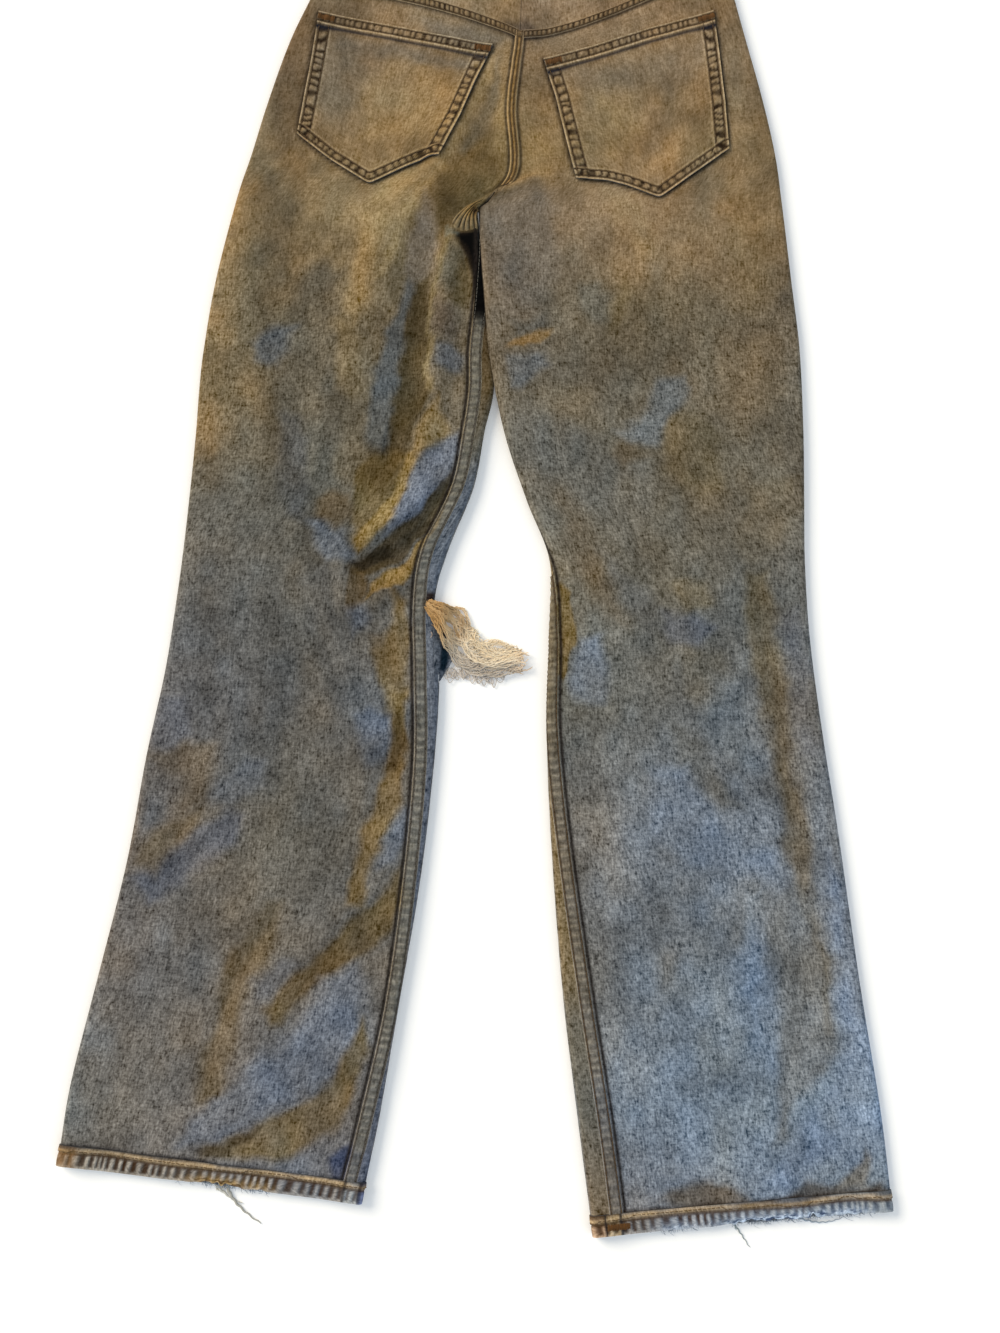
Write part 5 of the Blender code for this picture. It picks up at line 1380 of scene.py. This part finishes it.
INSEAM_WIDTH = 11.0
dull_rows = []
INSEAM_TINT = {"left": ((104, 104, 98), 0.6), "right": ((104, 90, 66), 0.45)}
for half, top in ((left, 0.45), (right, 5.2)):
    v = half.stations(0.95, half.crotch - top, 1.4)[:, None]
    g = half.inseam(v) + 0.8 - np.linspace(0, INSEAM_WIDTH, 20)[None, :]
    points = half.place(g, v)
    felled("inseam_" + half.name, points, facing(points, -half.side), INSEAM_WIDTH, 101, rungs=0.25,
           tint=INSEAM_TINT[half.name], rows=dull_rows if half is left else thread_rows)

CENTRE_WIDTH = 8.4
places = np.linspace(0.72, YOKE + 0.02, 150)[:, None]
offsets = np.linspace(0, CENTRE_WIDTH / 2, 9)[None, :]
points = np.concatenate([left.place(offsets, left.crotch + places)[:, ::-1],
                         right.place(offsets, right.crotch + places)[:, 1:]], axis=1)
normals = facing(points, RIGHT)
felled("centre_back_seam", points, normals * np.sign(normals[..., 2:3]), CENTRE_WIDTH, 111, pitch=9.0,
       rungs=0.15, tint=((158, 122, 70), 0.65), inset=2.7)

YOKE_WIDTH = 8.8
for half in HALVES:
    end = float(half.spans(half.crotch + YOKE)[2]) + SIDE_SEAM - 1
    g = np.linspace(0.2, end, int(end / 1.15))[:, None]
    middle = half.crotch + YOKE + 0 * g
    pace = np.linalg.norm(half.place(g, middle + 0.05) - half.place(g, middle), axis=-1)
    v = middle + np.linspace(-0.65, 0.35, 14)[None, :] * YOKE_WIDTH * 0.05 / pace
    points = half.place(g, v)
    normals = facing(points, half.side)
    normals = normals * np.sign(normals[..., 2:3] + 1e-6)
    felled("yoke_seam_" + half.name, points, normals, YOKE_WIDTH, 121, pitch=4.4, tint=((112, 90, 60), 0.5))

# ---------------------------------------------------------------- the hems
# Each leg ends in a turned hem, sewn round with one heavy row. It is roped by washing,
# worn grey along its fold and rubbed through to loose fuzz in places.
HEM_PITCH = 6.6        # of the roping
HEM_DEPTH = 15.0
HEM_ROW = 13.3         # the stitches' distance from the fold


def hem_ring(half, v, columns):
    """Points round the end of the leg at the stations, over the top and back underneath."""
    apex = half.spans(v)[2]
    top = np.linspace(0, 1, columns)[None, :-1] * apex
    low = np.linspace(1, 0, columns)[None, :-1] * half.spans(v, True)[2]
    return np.concatenate([half.place(top, v, False, HEM_CLOTH), half.place(low, v, True, HEM_CLOTH)], axis=1)


# Where the hem's fold is rubbed through, by the distance from the inner edge on top.
Fray = namedtuple("Fray", "half middle reach bite")
FRAYS = [
    Fray(left, 108, 20, 2.4), Fray(left, 80, 12, 1.2), Fray(right, 130, 28, 3.0),
    Fray(right, 166, 7, 3.6), Fray(right, 190, 16, 1.6), Fray(right, 64, 14, 1.0),
]
# The seam that runs down into each hem: where its strip starts and ends round the leg, and
# its tone, with the tone of the cloth between it and the inner edge.
HEM_SEAM = {
    "left": (5.5, 16.5, (150, 158, 166), (40, 62, 104)),
    "right": (12.5, 23.8, (146, 124, 90), (116, 84, 50)),
}

for half in HALVES:
    depth_share = np.linspace(0, 1, 18)
    v = (depth_share * 0.995)[:, None]
    columns = 230
    points = hem_ring(half, v, columns)
    ring = np.concatenate([points[:, -2:], points, points[:, :2]], axis=1)
    normals = facing(ring, half.side)[:, 2:-2]
    upward = np.sign(np.mean(normals[:, columns // 2, 2]))
    normals = normals * upward
    width = np.linalg.norm(np.diff(points[0], axis=0, prepend=points[0][-1:]), axis=1)
    along = np.cumsum(width)[None, :] + 0 * points[..., 0]
    from_fold = depth_share[:, None] * HEM_DEPTH + 0 * along
    still = 0 * along
    phase = ((along + 0.08 * from_fold) / HEM_PITCH + 0.9 * waves(along, still, 23, 131)
             + 0.3 * waves(along, still, 8, 139))
    rope = np.cos(2 * math.pi * phase)
    lumps = waves(along, from_fold, 12, 132)
    sway = from_fold + (1.1 if half is right else 0.7) * waves(along, still, 38, 138) * smooth(from_fold / 9)
    height = 0.55 * rope * bell(from_fold - 6.0, 5.5) + 0.35 * lumps * bell(from_fold - 6, 6)
    height += 0.45 * bell(sway - 13.8, 1.2) - 0.5 * bell(sway - 12.1, 0.9)
    on_top = (np.arange(points.shape[1]) < columns)[None, :] + still
    fray = np.zeros(points.shape[:2])
    for row in FRAYS:
        if row.half is half:
            near = bell(along - row.middle, row.reach) * on_top
            fray = np.maximum(fray, near * row.bite)
    tear = np.clip(fray * (0.6 + 0.7 * waves(along, still, 3.2, 134)), 0, 4)
    pull = (tear * (1 - smooth(from_fold / 6.0)))[..., None]
    upward_on_cloth = points[-1:] - points[:1]
    upward_on_cloth = upward_on_cloth / np.linalg.norm(upward_on_cloth, axis=-1, keepdims=True)
    skin = points + normals * height[..., None] + upward_on_cloth * pull
    colour = wash(points[..., 0], points[..., 1], patches=False)
    low, high, strip_tone, edge_tone = HEM_SEAM[half.name]
    colour = blend(colour, edge_tone, 0.75 * smooth((low - along) / 2 + 1) * on_top)
    in_strip = 0.8 * smooth((along - low) / 1.5) * smooth((high - along) / 1.5) * on_top
    colour = blend(colour, strip_tone, in_strip)
    teeth = smooth((along - 150) / 30) * on_top if half is right else still
    roped = smooth((from_fold - 0.8) / 2.2) * smooth((12.3 - sway) / 1.6)
    blotches = waves(along, still, 19, 143)
    lumpy = 0.75 + 0.25 * lumps
    worn = bell(from_fold, 1.7) * lumpy + np.clip(rope + 0.3 * blotches, 0, 1) * roped * lumpy
    colour = tinted(colour, worn * (1 - 0.2 * teeth), still, pale=(186, 177, 160))
    brown = np.clip(0.1 - 1.4 * rope + 0.25 * blotches, 0, 1) * roped
    brown = brown * (0.75 + 0.25 * waves(along, from_fold, 16, 136))
    colour = blend(colour, (58, 38, 20), np.clip(brown, 0, 1) * (1 - teeth))
    colour = blend(colour, (50, 58, 74), np.clip(brown, 0, 1) * teeth)
    # Painted shade in the ditch just below the hem's upper ridge.
    colour = blend(colour, (62, 44, 26), np.clip(0.95 * bell(sway - 12.2, 1.0), 0, 1))
    # The hem's upper ridge is worn pale, with a painted highlight on it.
    ridge = np.clip(bell(sway - 13.7, 0.85) * (0.8 + 0.3 * waves(along, still, 9, 137)), 0, 1)
    colour = blend(colour, (196, 170, 132), ridge)
    # The upper ridge is darker along this span of the right hem.
    darker_ridge_span = smooth((along - 96) / 20) * smooth((176 - along) / 20) if half is right else still
    colour = blend(colour, (96, 76, 44), 0.75 * darker_ridge_span * ridge * on_top)
    outer_end = smooth((along - float(half.spans(0.5)[2]) + 18) / 8) if half is left else still
    colour = blend(colour, (142, 106, 64), 0.5 * outer_end * on_top)
    above = bell(sway - 15.3, 0.8) * (0.75 + 0.25 * waves(along, still, 11, 141))
    colour = blend(colour, HEM_SHADE[half.name], np.clip(above, 0, 0.9))
    shaggy = np.clip(fray / 2.0, 0, 0.95) * bell(from_fold - 2, 5.6)
    colour = blend(colour, (176, 194, 218) if half is right else (168, 142, 98), shaggy)
    tufts = shaggy * (waves(along, from_fold, 2.2, 140) > 0.25)
    colour = blend(colour, (44, 62, 96) if half is right else (84, 62, 36), tufts)
    # Painted shade lines along both sides of the seam's strip.
    for at, width in ((low, 0.9), (high, 1.2)):
        colour = blend(colour, (20, 20, 28), 0.9 * bell(along - at, width) * on_top)
    wanted = np.abs(sway - HEM_ROW).argmin(axis=0)
    ring = (skin + normals * HEM_CLOTH / 2)[wanted, np.arange(len(wanted))]
    ring_up = normals[wanted, np.arange(len(wanted))]
    thread_rows.append((np.concatenate([ring, ring[:1]]), np.concatenate([ring_up, ring_up[:1]])))
    hem = sew("leg_hem_" + half.name, skin, normals, HEM_CLOTH, colour, seamed_denim, loop=True, along=60)
    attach(hem, "root")
    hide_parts("hem_" + half.name)
    laid(skin, [], loop=True)

# ---------------------------------------------------------------- the crotch
# Where the four panels meet, the felled seams bunch into a few hard ridges that run from
# under the right leg's fold down into the gap beside the left leg.
Ridge = namedtuple("Ridge", "x0 y0 x1 y1 x2 y2")
CROTCH_RIDGES = [
    Ridge(14, 13, -11, 2, -25, -17), Ridge(8, 11, -11, -3, -19, -19), Ridge(5, 8, -10, -6, -13, -21),
    Ridge(3, 6, -8, -7, -8, -21), Ridge(1, 4, -5, -7, -4, -20), Ridge(0, 1, -2, -7, 0, -19),
]

t = np.linspace(0, 1, 46)[:, None]
across = np.linspace(0, len(CROTCH_RIDGES) - 1, 41)
table = np.array(CROTCH_RIDGES, float)
columns = np.stack([through(table[:, k], across) for k in range(6)], axis=-1)
plan = bent(t[..., None], columns[:, 0:2], columns[:, 2:4], columns[:, 4:6])
g, v = lie_on(left, plan[..., 0], plan[..., 1])
points = left.place(g, v)
normals = facing(points, LEFT)
normals = normals * np.sign(normals[..., 2:3] + 1e-6)
wavy = across[None, :] + 0.12 * np.sin(7 * t)
crest = np.abs(np.cos(math.pi * wavy))
taper = smooth(t / 0.2) * smooth((1 - t) / 0.25) * smooth(across / 0.6)[None, :]
colour = wash(plan[..., 0], plan[..., 1])
colour = blend(colour, (150, 122, 76), 0.9 + 0 * crest)
colour = blend(colour, (126, 112, 86), 0.8 * smooth((t - 0.4) / 0.3) + 0 * crest)
# Painted shade between the crests, where they knot together and where they run down into the gap.
colour = blend(colour, (30, 20, 10), np.clip(1.1 - crest * 1.5, 0, 1) * smooth(across / 0.8)[None, :])
knot = bell(np.hypot(plan[..., 0] + 3, (plan[..., 1] + 2) * 0.6), 3.0)
colour = blend(colour, (44, 30, 18), 0.9 * np.clip(knot, 0, 1))
colour = blend(colour, (12, 9, 6), smooth((t - 0.9) / 0.1) * smooth((across - 0.5) / 1.0)[None, :])
lift = -0.5 + (1.3 * crest + 0.9) * taper
bunch = sew("crotch_seam", points + normals * lift[..., None], normals, STRIP, colour, seamed_denim)
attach(bunch, "root")
laid(points, ["back_panel_left"])

# ---------------------------------------------------------------- topstitching
# Heavy cotton thread, once golden, now dulled. A Geometry Nodes tree lays a bent stitch
# at every pace along each row, and packs them close and crosswise for the bar tacks.
THREAD = 0.27
STITCH, PITCH = 2.7, 3.4


def lines_object(name, lines, attributes):
    """A mesh of loose lines, with one vector or colour per point under each attribute's name."""
    mesh = bpy.data.meshes.new(name)
    points = np.concatenate([line[0] for line in lines])
    counts = [len(line[0]) for line in lines]
    starts = np.concatenate([[0], np.cumsum(counts)[:-1]])
    edges = [(start + k, start + k + 1) for start, count in zip(starts, counts) for k in range(count - 1)]
    mesh.from_pydata([tuple(p) for p in to_world(points)], [tuple(map(int, edge)) for edge in edges], [])
    for k, (attribute, kind) in enumerate(attributes):
        values = np.concatenate([line[k + 1] for line in lines])
        layer = mesh.attributes.new(attribute, kind, "POINT")
        field = "vector" if kind == "FLOAT_VECTOR" else "color"
        if field == "color":
            values = np.concatenate([values, np.ones((len(values), 1))], axis=1)
        layer.data.foreach_set(field, values.astype(np.float32).ravel())
    made = bpy.data.objects.new(name, mesh)
    scene.collection.objects.link(made)
    return made


def node_tree(name, inputs):
    """An empty Geometry Nodes tree with these named number inputs and a material."""
    tree = bpy.data.node_groups.new(name, "GeometryNodeTree")
    tree.interface.new_socket(name="Lines", in_out="INPUT", socket_type="NodeSocketGeometry")
    for label in inputs:
        tree.interface.new_socket(name=label, in_out="INPUT", socket_type="NodeSocketFloat")
    tree.interface.new_socket(name="Material", in_out="INPUT", socket_type="NodeSocketMaterial")
    tree.interface.new_socket(name="Result", in_out="OUTPUT", socket_type="NodeSocketGeometry")
    return tree


def finished(tree, geometry):
    """Ends a tree with its real mesh and its material."""
    node = Socket.node
    real = node(tree, "GeometryNodeRealizeInstances", None, {0: geometry})
    smoothed = node(tree, "GeometryNodeSetShadeSmooth", None, {"Geometry": real})
    material = node(tree, "NodeGroupInput", output="Material")
    done = node(tree, "GeometryNodeSetMaterial", None, {"Geometry": smoothed, "Material": material})
    end = tree.nodes.new("NodeGroupOutput")
    tree.links.new(done.socket, end.inputs["Result"])


def stitch_tree():
    """Bent stitches at an even pitch along lines, standing on their "up" vectors."""
    tree = node_tree("stitches", ["Pitch", "Length", "Thickness", "Arch", "Turn"])
    node = Socket.node

    def given(label):
        return node(tree, "NodeGroupInput", output=label)

    rows = node(tree, "GeometryNodeMeshToCurve", None, {"Mesh": given("Lines")})
    paced = node(tree, "GeometryNodeResampleCurve", {"mode": "LENGTH"}, {
        "Curve": rows, "Length": given("Pitch")})
    half = given("Length") * 0.5
    low = node(tree, "ShaderNodeCombineXYZ", None, {"X": half * -1.0})
    high = node(tree, "ShaderNodeCombineXYZ", None, {"X": half})
    line = node(tree, "GeometryNodeCurvePrimitiveLine", None, {"Start": low, "End": high})
    line = node(tree, "GeometryNodeResampleCurve", {"mode": "COUNT"}, {"Curve": line, "Count": 4})
    share = node(tree, "GeometryNodeSplineParameter", output="Factor") * 2.0 - 1.0
    rise = (1.0 - share * share * 1.5) * given("Arch")
    arched = node(tree, "GeometryNodeSetPosition", None, {
        "Geometry": line, "Offset": node(tree, "ShaderNodeCombineXYZ", None, {"Z": rise})})
    ring = node(tree, "GeometryNodeCurvePrimitiveCircle", None, {
        "Resolution": 5, "Radius": given("Thickness")})
    stitch = node(tree, "GeometryNodeCurveToMesh", None, {
        "Curve": arched, "Profile Curve": ring, "Fill Caps": True})
    up = node(tree, "GeometryNodeInputNamedAttribute", {"data_type": "FLOAT_VECTOR"}, {"Name": "up"})
    tangent = node(tree, "GeometryNodeInputTangent")
    turn = node(tree, "FunctionNodeAlignRotationToVector", {"axis": "Z"}, {"Vector": up})
    turn = node(tree, "FunctionNodeAlignRotationToVector", {"axis": "X", "pivot_axis": "Z"}, {
        "Rotation": turn, "Vector": tangent})
    number = {"data_type": "FLOAT"}
    wobble = node(tree, "FunctionNodeRandomValue", number, {2: -0.12, 3: 0.12, "Seed": 7}, output=1)
    yaw = node(tree, "ShaderNodeCombineXYZ", None, {"Z": given("Turn") + wobble})
    yaw = node(tree, "FunctionNodeEulerToRotation", None, {"Euler": yaw})
    turn = node(tree, "FunctionNodeRotateRotation", {"rotation_space": "LOCAL"}, {
        "Rotation": turn, "Rotate By": yaw})
    scale = node(tree, "FunctionNodeRandomValue", number, {2: 0.85, 3: 1.1, "Seed": 3}, output=1)
    copies = node(tree, "GeometryNodeInstanceOnPoints", None, {
        "Points": paced, "Instance": stitch, "Rotation": turn, "Scale": scale})
    finished(tree, copies)
    return tree


def grown(name, lines, tree, material, values):
    """Runs a tree on lines and keeps the result as a plain mesh."""
    modifier = lines.modifiers.new("grow", "NODES")
    modifier.node_group = tree
    for item in tree.interface.items_tree:
        if item.name in values:
            modifier[item.identifier] = values[item.name]
        if item.name == "Material":
            modifier[item.identifier] = material
    graph = bpy.context.evaluated_depsgraph_get()
    mesh = bpy.data.meshes.new_from_object(lines.evaluated_get(graph))
    mesh.name = name
    lines.modifiers.clear()
    made = bpy.data.objects.new(name, mesh)
    scene.collection.objects.link(made)
    bpy.data.objects.remove(lines)
    return made


g = float(right.inseam(0.5)) - np.linspace(-4.0, 12.0, 40)
points = right.place(g, 0.62 + 0 * g, False, HEM_CLOTH)
bar_tacks.append((points + (0, 0, HEM_CLOTH / 2 + 0.5), np.tile((0.0, 0.0, 1.0), (len(g), 1))))

gold_thread = plain_finish("gold_thread", (92, 70, 42), 0.75, size=1500, uneven=0.5)
rust_thread = plain_finish("rust_thread", (98, 64, 26), 0.75, size=900, uneven=0.9)
dull_thread = plain_finish("dull_thread", (92, 88, 80), 0.75, size=1500, uneven=0.5)
LONG_STITCH = {"Pitch": PITCH * 0.001, "Length": STITCH * 0.001, "Thickness": THREAD * 0.001,
               "Arch": 0.0002, "Turn": 0.0}
TACK_STITCH = {"Pitch": 0.00062, "Length": 0.0044, "Thickness": 0.00036, "Arch": 0.0005,
               "Turn": math.pi / 2}
stitches = stitch_tree()
for name, rows, thread, sizes in (("topstitching", thread_rows, gold_thread, LONG_STITCH),
                                  ("inseam_stitching", dull_rows, dull_thread, LONG_STITCH),
                                  ("bar_tacks", bar_tacks, rust_thread, TACK_STITCH)):
    lines = lines_object("rows", rows, [("up", "FLOAT_VECTOR")])
    piece = grown(name, lines, stitches, thread, sizes)
    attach(piece, "root")

# ---------------------------------------------------------------- threads of the rip
# The weft of the torn knee, white cotton dulled to tan at its roots, hangs out over the
# inner edge as a tangle of crimped, looped yarns and lies on the floor. A torn flap of
# the front lies under its root, with a slit beside it painted in as dark shade.
FLAP_TOP = [(-38, -324), (-34, -340), (-33, -362), (-33, -388)]
FLAP_EDGE = [(-37, -325), (-29, -338), (-20, -352), (-18, -364), (-24, -376), (-32, -387)]
rows, columns = np.linspace(0, 1, 60), np.linspace(0, 1, 22)
inner, outer = along_line(FLAP_TOP, rows), along_line(FLAP_EDGE, rows)
down, still = rows * 70, rows * 0
outer = outer + 0.7 * np.stack([waves(down, still, 2.2, 81), waves(down, still, 3.1, 82)], axis=-1)
plan = inner[:, None] * (1 - columns)[None, :, None] + outer[:, None] * columns[None, :, None]
height = (7.9 + 0 * plan[..., 0] - 5.2 * smooth(columns[None, :] / 0.9)
          + 0.35 * waves(plan[..., 0], plan[..., 1], 5, 83))
points = np.concatenate([plan, height[..., None]], axis=-1)
normals = facing(points, LEFT)
normals = normals * np.sign(normals[..., 2:3])
colour = blend(wash(plan[..., 0], plan[..., 1]), (84, 92, 104), 0.85 + 0 * height)
# The slit is painted: dark shade where the flap parts from the cloth.
slit = inside_outline([(-27, -352), (-23, -356), (-22, -366), (-25, -376), (-29, -374), (-28, -362)], 2.5,
                      plan[..., 0], plan[..., 1])
colour = blend(colour, (16, 34, 46), slit)
flap = sew("knee_flap", points, normals, 0.9, colour, denim)
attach(flap, "root")
laid(points, ["front_panel_left"])

FRINGE_TOP = [(-38, -320), (-24, -324), (-12, -329), (-4, -340), (1, -352), (14, -354), (30, -356),
              (42, -360)]
FRINGE_FOOT = [(-40, -327), (-33, -336), (-27, -346), (-20, -359), (-15, -368), (0, -374), (20, -376),
               (42, -375)]
RADIUS = 0.47


def yarn_tree():
    """Round yarn along lines. Colours travel with the points."""
    tree = node_tree("yarn", ["Radius"])
    node = Socket.node
    lines = node(tree, "NodeGroupInput", output="Lines")
    curve = node(tree, "GeometryNodeMeshToCurve", None, {"Mesh": lines})
    radius = node(tree, "NodeGroupInput", output="Radius")
    thin = node(tree, "GeometryNodeInputNamedAttribute", {"data_type": "FLOAT_VECTOR"}, {"Name": "thin"})
    share = node(tree, "ShaderNodeSeparateXYZ", None, {"Vector": thin})
    ring = node(tree, "GeometryNodeCurvePrimitiveCircle", None, {"Resolution": 5, "Radius": radius})
    sized = node(tree, "GeometryNodeSetCurveRadius", None, {"Curve": curve, "Radius": share})
    mesh = node(tree, "GeometryNodeCurveToMesh", None, {
        "Curve": sized, "Profile Curve": ring, "Scale": share, "Fill Caps": True})
    finished(tree, mesh)
    return tree


def yarn_finish():
    made = bpy.data.materials.new("raw_cotton")
    made.use_nodes = True
    tree = made.node_tree
    colour_and_shade = Socket.node(tree, "ShaderNodeAttribute", {"attribute_name": "wash"})
    place = Socket.node(tree, "ShaderNodeTexCoord", output=3)
    fibre = Socket.node(tree, "ShaderNodeTexNoise", None, {"Vector": place, "Scale": 1400.0, "Detail": 2.0})
    base = Socket.node(tree, "ShaderNodeVectorMath", {"operation": "SCALE"}, {
        0: colour_and_shade, "Scale": fibre * 0.5 + 0.75})
    bump = Socket.node(tree, "ShaderNodeBump", None, {"Strength": 0.5, "Distance": 0.0003, "Height": fibre})
    shader = tree.nodes["Principled BSDF"]
    tree.links.new(base.socket, shader.inputs["Base Color"])
    tree.links.new(bump.socket, shader.inputs["Normal"])
    shader.inputs["Roughness"].default_value = 0.9
    shader.inputs["Specular IOR Level"].default_value = 0.15
    shader.inputs["Subsurface Weight"].default_value = 0.0
    return made


def yarn_line(points, colours, thin):
    """One yarn: its points, their colours and how thick it is at each."""
    return np.asarray(points, float), np.stack([thin, thin, thin], axis=-1), linear(colours)


random = np.random.default_rng(4)
yarns = []
CLUMPS = 20
for clump in range(CLUMPS):
    mix = (clump + random.uniform(-0.3, 0.3)) / (CLUMPS - 1)
    reach = random.uniform(0.55, 0.85) if clump % 4 == 1 else random.uniform(0.93, 1.0)
    waviness, start_phase = random.uniform(9, 15), random.uniform(0, 6)
    turns, wide, lean = random.uniform(2.5, 7.0), random.uniform(1.0, 2.6), random.uniform(0, 6.3)
    rise, shade = random.uniform(0.3, 3.4), random.uniform(-16, 8)
    rolled = 1.8 * math.sin(math.pi * mix)
    for strand in range(int(random.integers(5, 9))):
        t = np.linspace(random.uniform(0.0, 0.05), reach * random.uniform(0.94, 1.0), int(66 * reach))
        top, foot = along_line(FRINGE_TOP, t), along_line(FRINGE_FOOT, t)
        spread = mix + 0.16 * np.sin(t * waviness + start_phase) * smooth(t / 0.3) * smooth((1.05 - t) / 0.3)
        middle = top * (1 - spread)[:, None] + foot * spread[:, None]
        angle = 2 * math.pi * turns * t + lean + 1.3 * strand
        swing = wide * (0.35 + 0.65 * smooth((t - 0.1) / 0.4))
        crimp = 0.4 * np.sin(t * 150 + random.uniform(0, 6))
        x = middle[:, 0] + swing * np.cos(angle) + crimp * 0.5 + random.normal(0, 0.3)
        y = middle[:, 1] + swing * 0.8 * np.sin(angle) + crimp + random.normal(0, 0.3)
        curl = smooth((t - 0.84) / 0.16) ** 2
        y = y + curl * random.uniform(-3.5, 3.5)
        x = x - curl * random.uniform(0.0, 6.0)
        over_cloth = 6.8 * smooth((-14 - x) / 14)
        z = 0.7 + over_cloth + rise * (1 - 0.4 * t) + rolled + 0.8 * np.sin(angle * 0.7 + strand)
        # Painted shade: a strand darkens as it turns to the far side of its bundle.
        depth = (np.sin(angle + 2.2) * 10 - 3)[:, None]
        mist = smooth((t - 0.10) / 0.35)[:, None]
        root_tone = np.array((202, 164, 114)) + shade + depth
        body_tone = np.array((246, 228, 198)) + shade + depth
        colours = root_tone * (1 - mist) + body_tone * mist
        grey = smooth((t - 0.2) / 0.3)[:, None] * np.clip(1.9 * (mix - 0.45), 0, 0.75)
        colours = colours * (1 - grey) + (np.array((200, 190, 180)) + shade + depth) * grey
        # Painted shadow where the upper bundle folds over the one below.
        fold = 0.6 * bell(t - 0.36, 0.06)[:, None] * np.clip(1 - abs(mix - 0.35) * 3, 0, 1)
        colours = colours * (1 - fold) + np.array((124, 88, 48)) * fold
        tip = 0.35 * smooth((t - 0.8) / 0.2)[:, None]
        colours = np.clip(colours * (1 - tip) + np.array((236, 196, 156)) * tip, 0, 255)
        thin = (1 - 0.25 * t) * random.uniform(0.75, 1.15)
        yarns.append(yarn_line(np.stack([x, y, z], axis=-1), colours, thin))
# Loops that hang from the foot of the tear, and stray ends at its root.
for k in range(46):
    start = random.uniform(0.0, 1.0)
    at = np.array((-27 + 40 * start, -373 - 4 * start)) + random.uniform(-2.5, 2.5, 2)
    t = np.linspace(0, 1, 30)
    reach = np.array((random.uniform(3, 10), random.uniform(-9, -2.5)))
    swing = random.uniform(-0.5, 0.9)
    bow = np.sin(t * math.pi)
    loop = np.stack([bow * reach[0] * swing + t * reach[0], bow * reach[1]], axis=-1)
    z = 0.5 + random.uniform(0.1, 1.6) + 0 * t
    colours = np.tile(np.array((214, 204, 194)) + random.uniform(-34, 10), (30, 1))
    yarns.append(yarn_line(np.column_stack([at + loop, z]), colours, random.uniform(0.55, 0.85) + 0 * t))
for k in range(26):
    at = np.array((-34 + random.uniform(-3, 8), -327 - random.uniform(0, 18)))
    t = np.linspace(0, 1, 22)
    lean = random.uniform(-0.6, 2.4)
    bend = np.stack([np.cos(lean * t) * t, -np.sin(lean * t + 0.4) * t], axis=-1) * random.uniform(3, 9)
    z = 6.6 - 0.25 * (at[0] + 34) + random.uniform(0.4, 1.8) * np.sin(t * 3)
    tone = np.array((186, 142, 92) if k % 3 else (196, 176, 160))
    colours = np.tile(tone + random.uniform(-14, 10), (22, 1))
    yarns.append(yarn_line(np.column_stack([at + bend, z]), colours, 0.65 - 0.3 * t))

yarn = yarn_tree()
raw_cotton = yarn_finish()
yarn_object = lines_object("fringe_lines", yarns, [("thin", "FLOAT_VECTOR"), ("wash", "FLOAT_COLOR")])
fringe = grown("knee_fringe", yarn_object, yarn, raw_cotton, {"Radius": RADIUS * 0.001})
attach(fringe, "root")
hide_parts("knee_threads")

# ---------------------------------------------------------------- loose ends at the hems
# Short fuzz where the hems' folds are rubbed through, and a few long threads pulled out.
Loose = namedtuple("Loose", "x0 y0 x1 y1 x2 y2 thick tone")
LOOSE = [
    Loose(-212, -740, -196, -749, -178, -752, 1.1, (196, 194, 184)),
    Loose(-183, -741, -190, -754, -171, -768, 3.6, (206, 204, 196)),
    Loose(-181, -748, -178, -764, -157, -782, 3.2, (176, 174, 166)),
    Loose(-180, -754, -190, -758, -184, -748, 1.2, (200, 198, 188)),
    Loose(176, -772, 186, -778, 190, -787, 1.9, (186, 200, 206)),
    Loose(182, -774, 190, -784, 200, -799, 1.8, (140, 150, 152)),
    Loose(232, -776, 250, -781, 268, -778, 1.6, (176, 186, 196)),
    Loose(204, -776, 216, -780, 230, -777, 1.2, (180, 188, 194)),
]
yarns = []
for row in LOOSE:
    t = np.linspace(0, 1, 40)[:, None]
    plan = bent(t, *np.array(row[:6], float).reshape(3, 2))
    plan += 0.35 * np.sin(t * 46 + row.x0) * np.array((0.6, 1.0))
    thin = row.thick * (1 - 0.75 * t[:, 0] ** 1.5)
    z = 0.5 * thin + 2.2 * (1 - smooth(t[:, 0] / 0.3))
    yarns.append(yarn_line(np.column_stack([plan, z]), np.tile(row.tone, (40, 1)), thin))
for row in FRAYS:
    columns = 220
    edge = row.half.place(np.linspace(0, 1, 900) * float(row.half.spans(0.0)[2]), 0.0, False, HEM_CLOTH)
    for k in range(int(row.reach * 3.2)):
        at = row.middle + random.normal(0, row.reach * 0.55)
        if not 6 < at < 210:
            continue
        root = edge[int(at / float(row.half.spans(0.0)[2]) * 899)]
        length = random.uniform(1.2, 5.5)
        lean = random.normal(0, 0.7)
        t = np.linspace(0, 1, 9)[:, None]
        bend = np.column_stack([lean * t + 0.5 * np.sin(3 * t + k) * t, 0.4 - t - 0.25 * np.sin(4 * t + k)])
        plan = root[:2] + bend * length
        z = root[2] * random.uniform(0.15, 0.9) * (1 - 0.5 * t[:, 0]) + 0.3
        tone = np.array((168, 176, 184)) if k % 4 else np.array((110, 122, 140))
        colours = np.tile(tone + random.uniform(-14, 14), (9, 1))
        yarns.append(yarn_line(np.column_stack([plan, z]), colours, 0.5 * (1 - 0.6 * t[:, 0])))
loose_object = lines_object("loose_lines", yarns, [("thin", "FLOAT_VECTOR"), ("wash", "FLOAT_COLOR")])
loose_ends = grown("hem_threads", loose_object, yarn, raw_cotton, {"Radius": RADIUS * 0.001})
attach(loose_ends, "root")
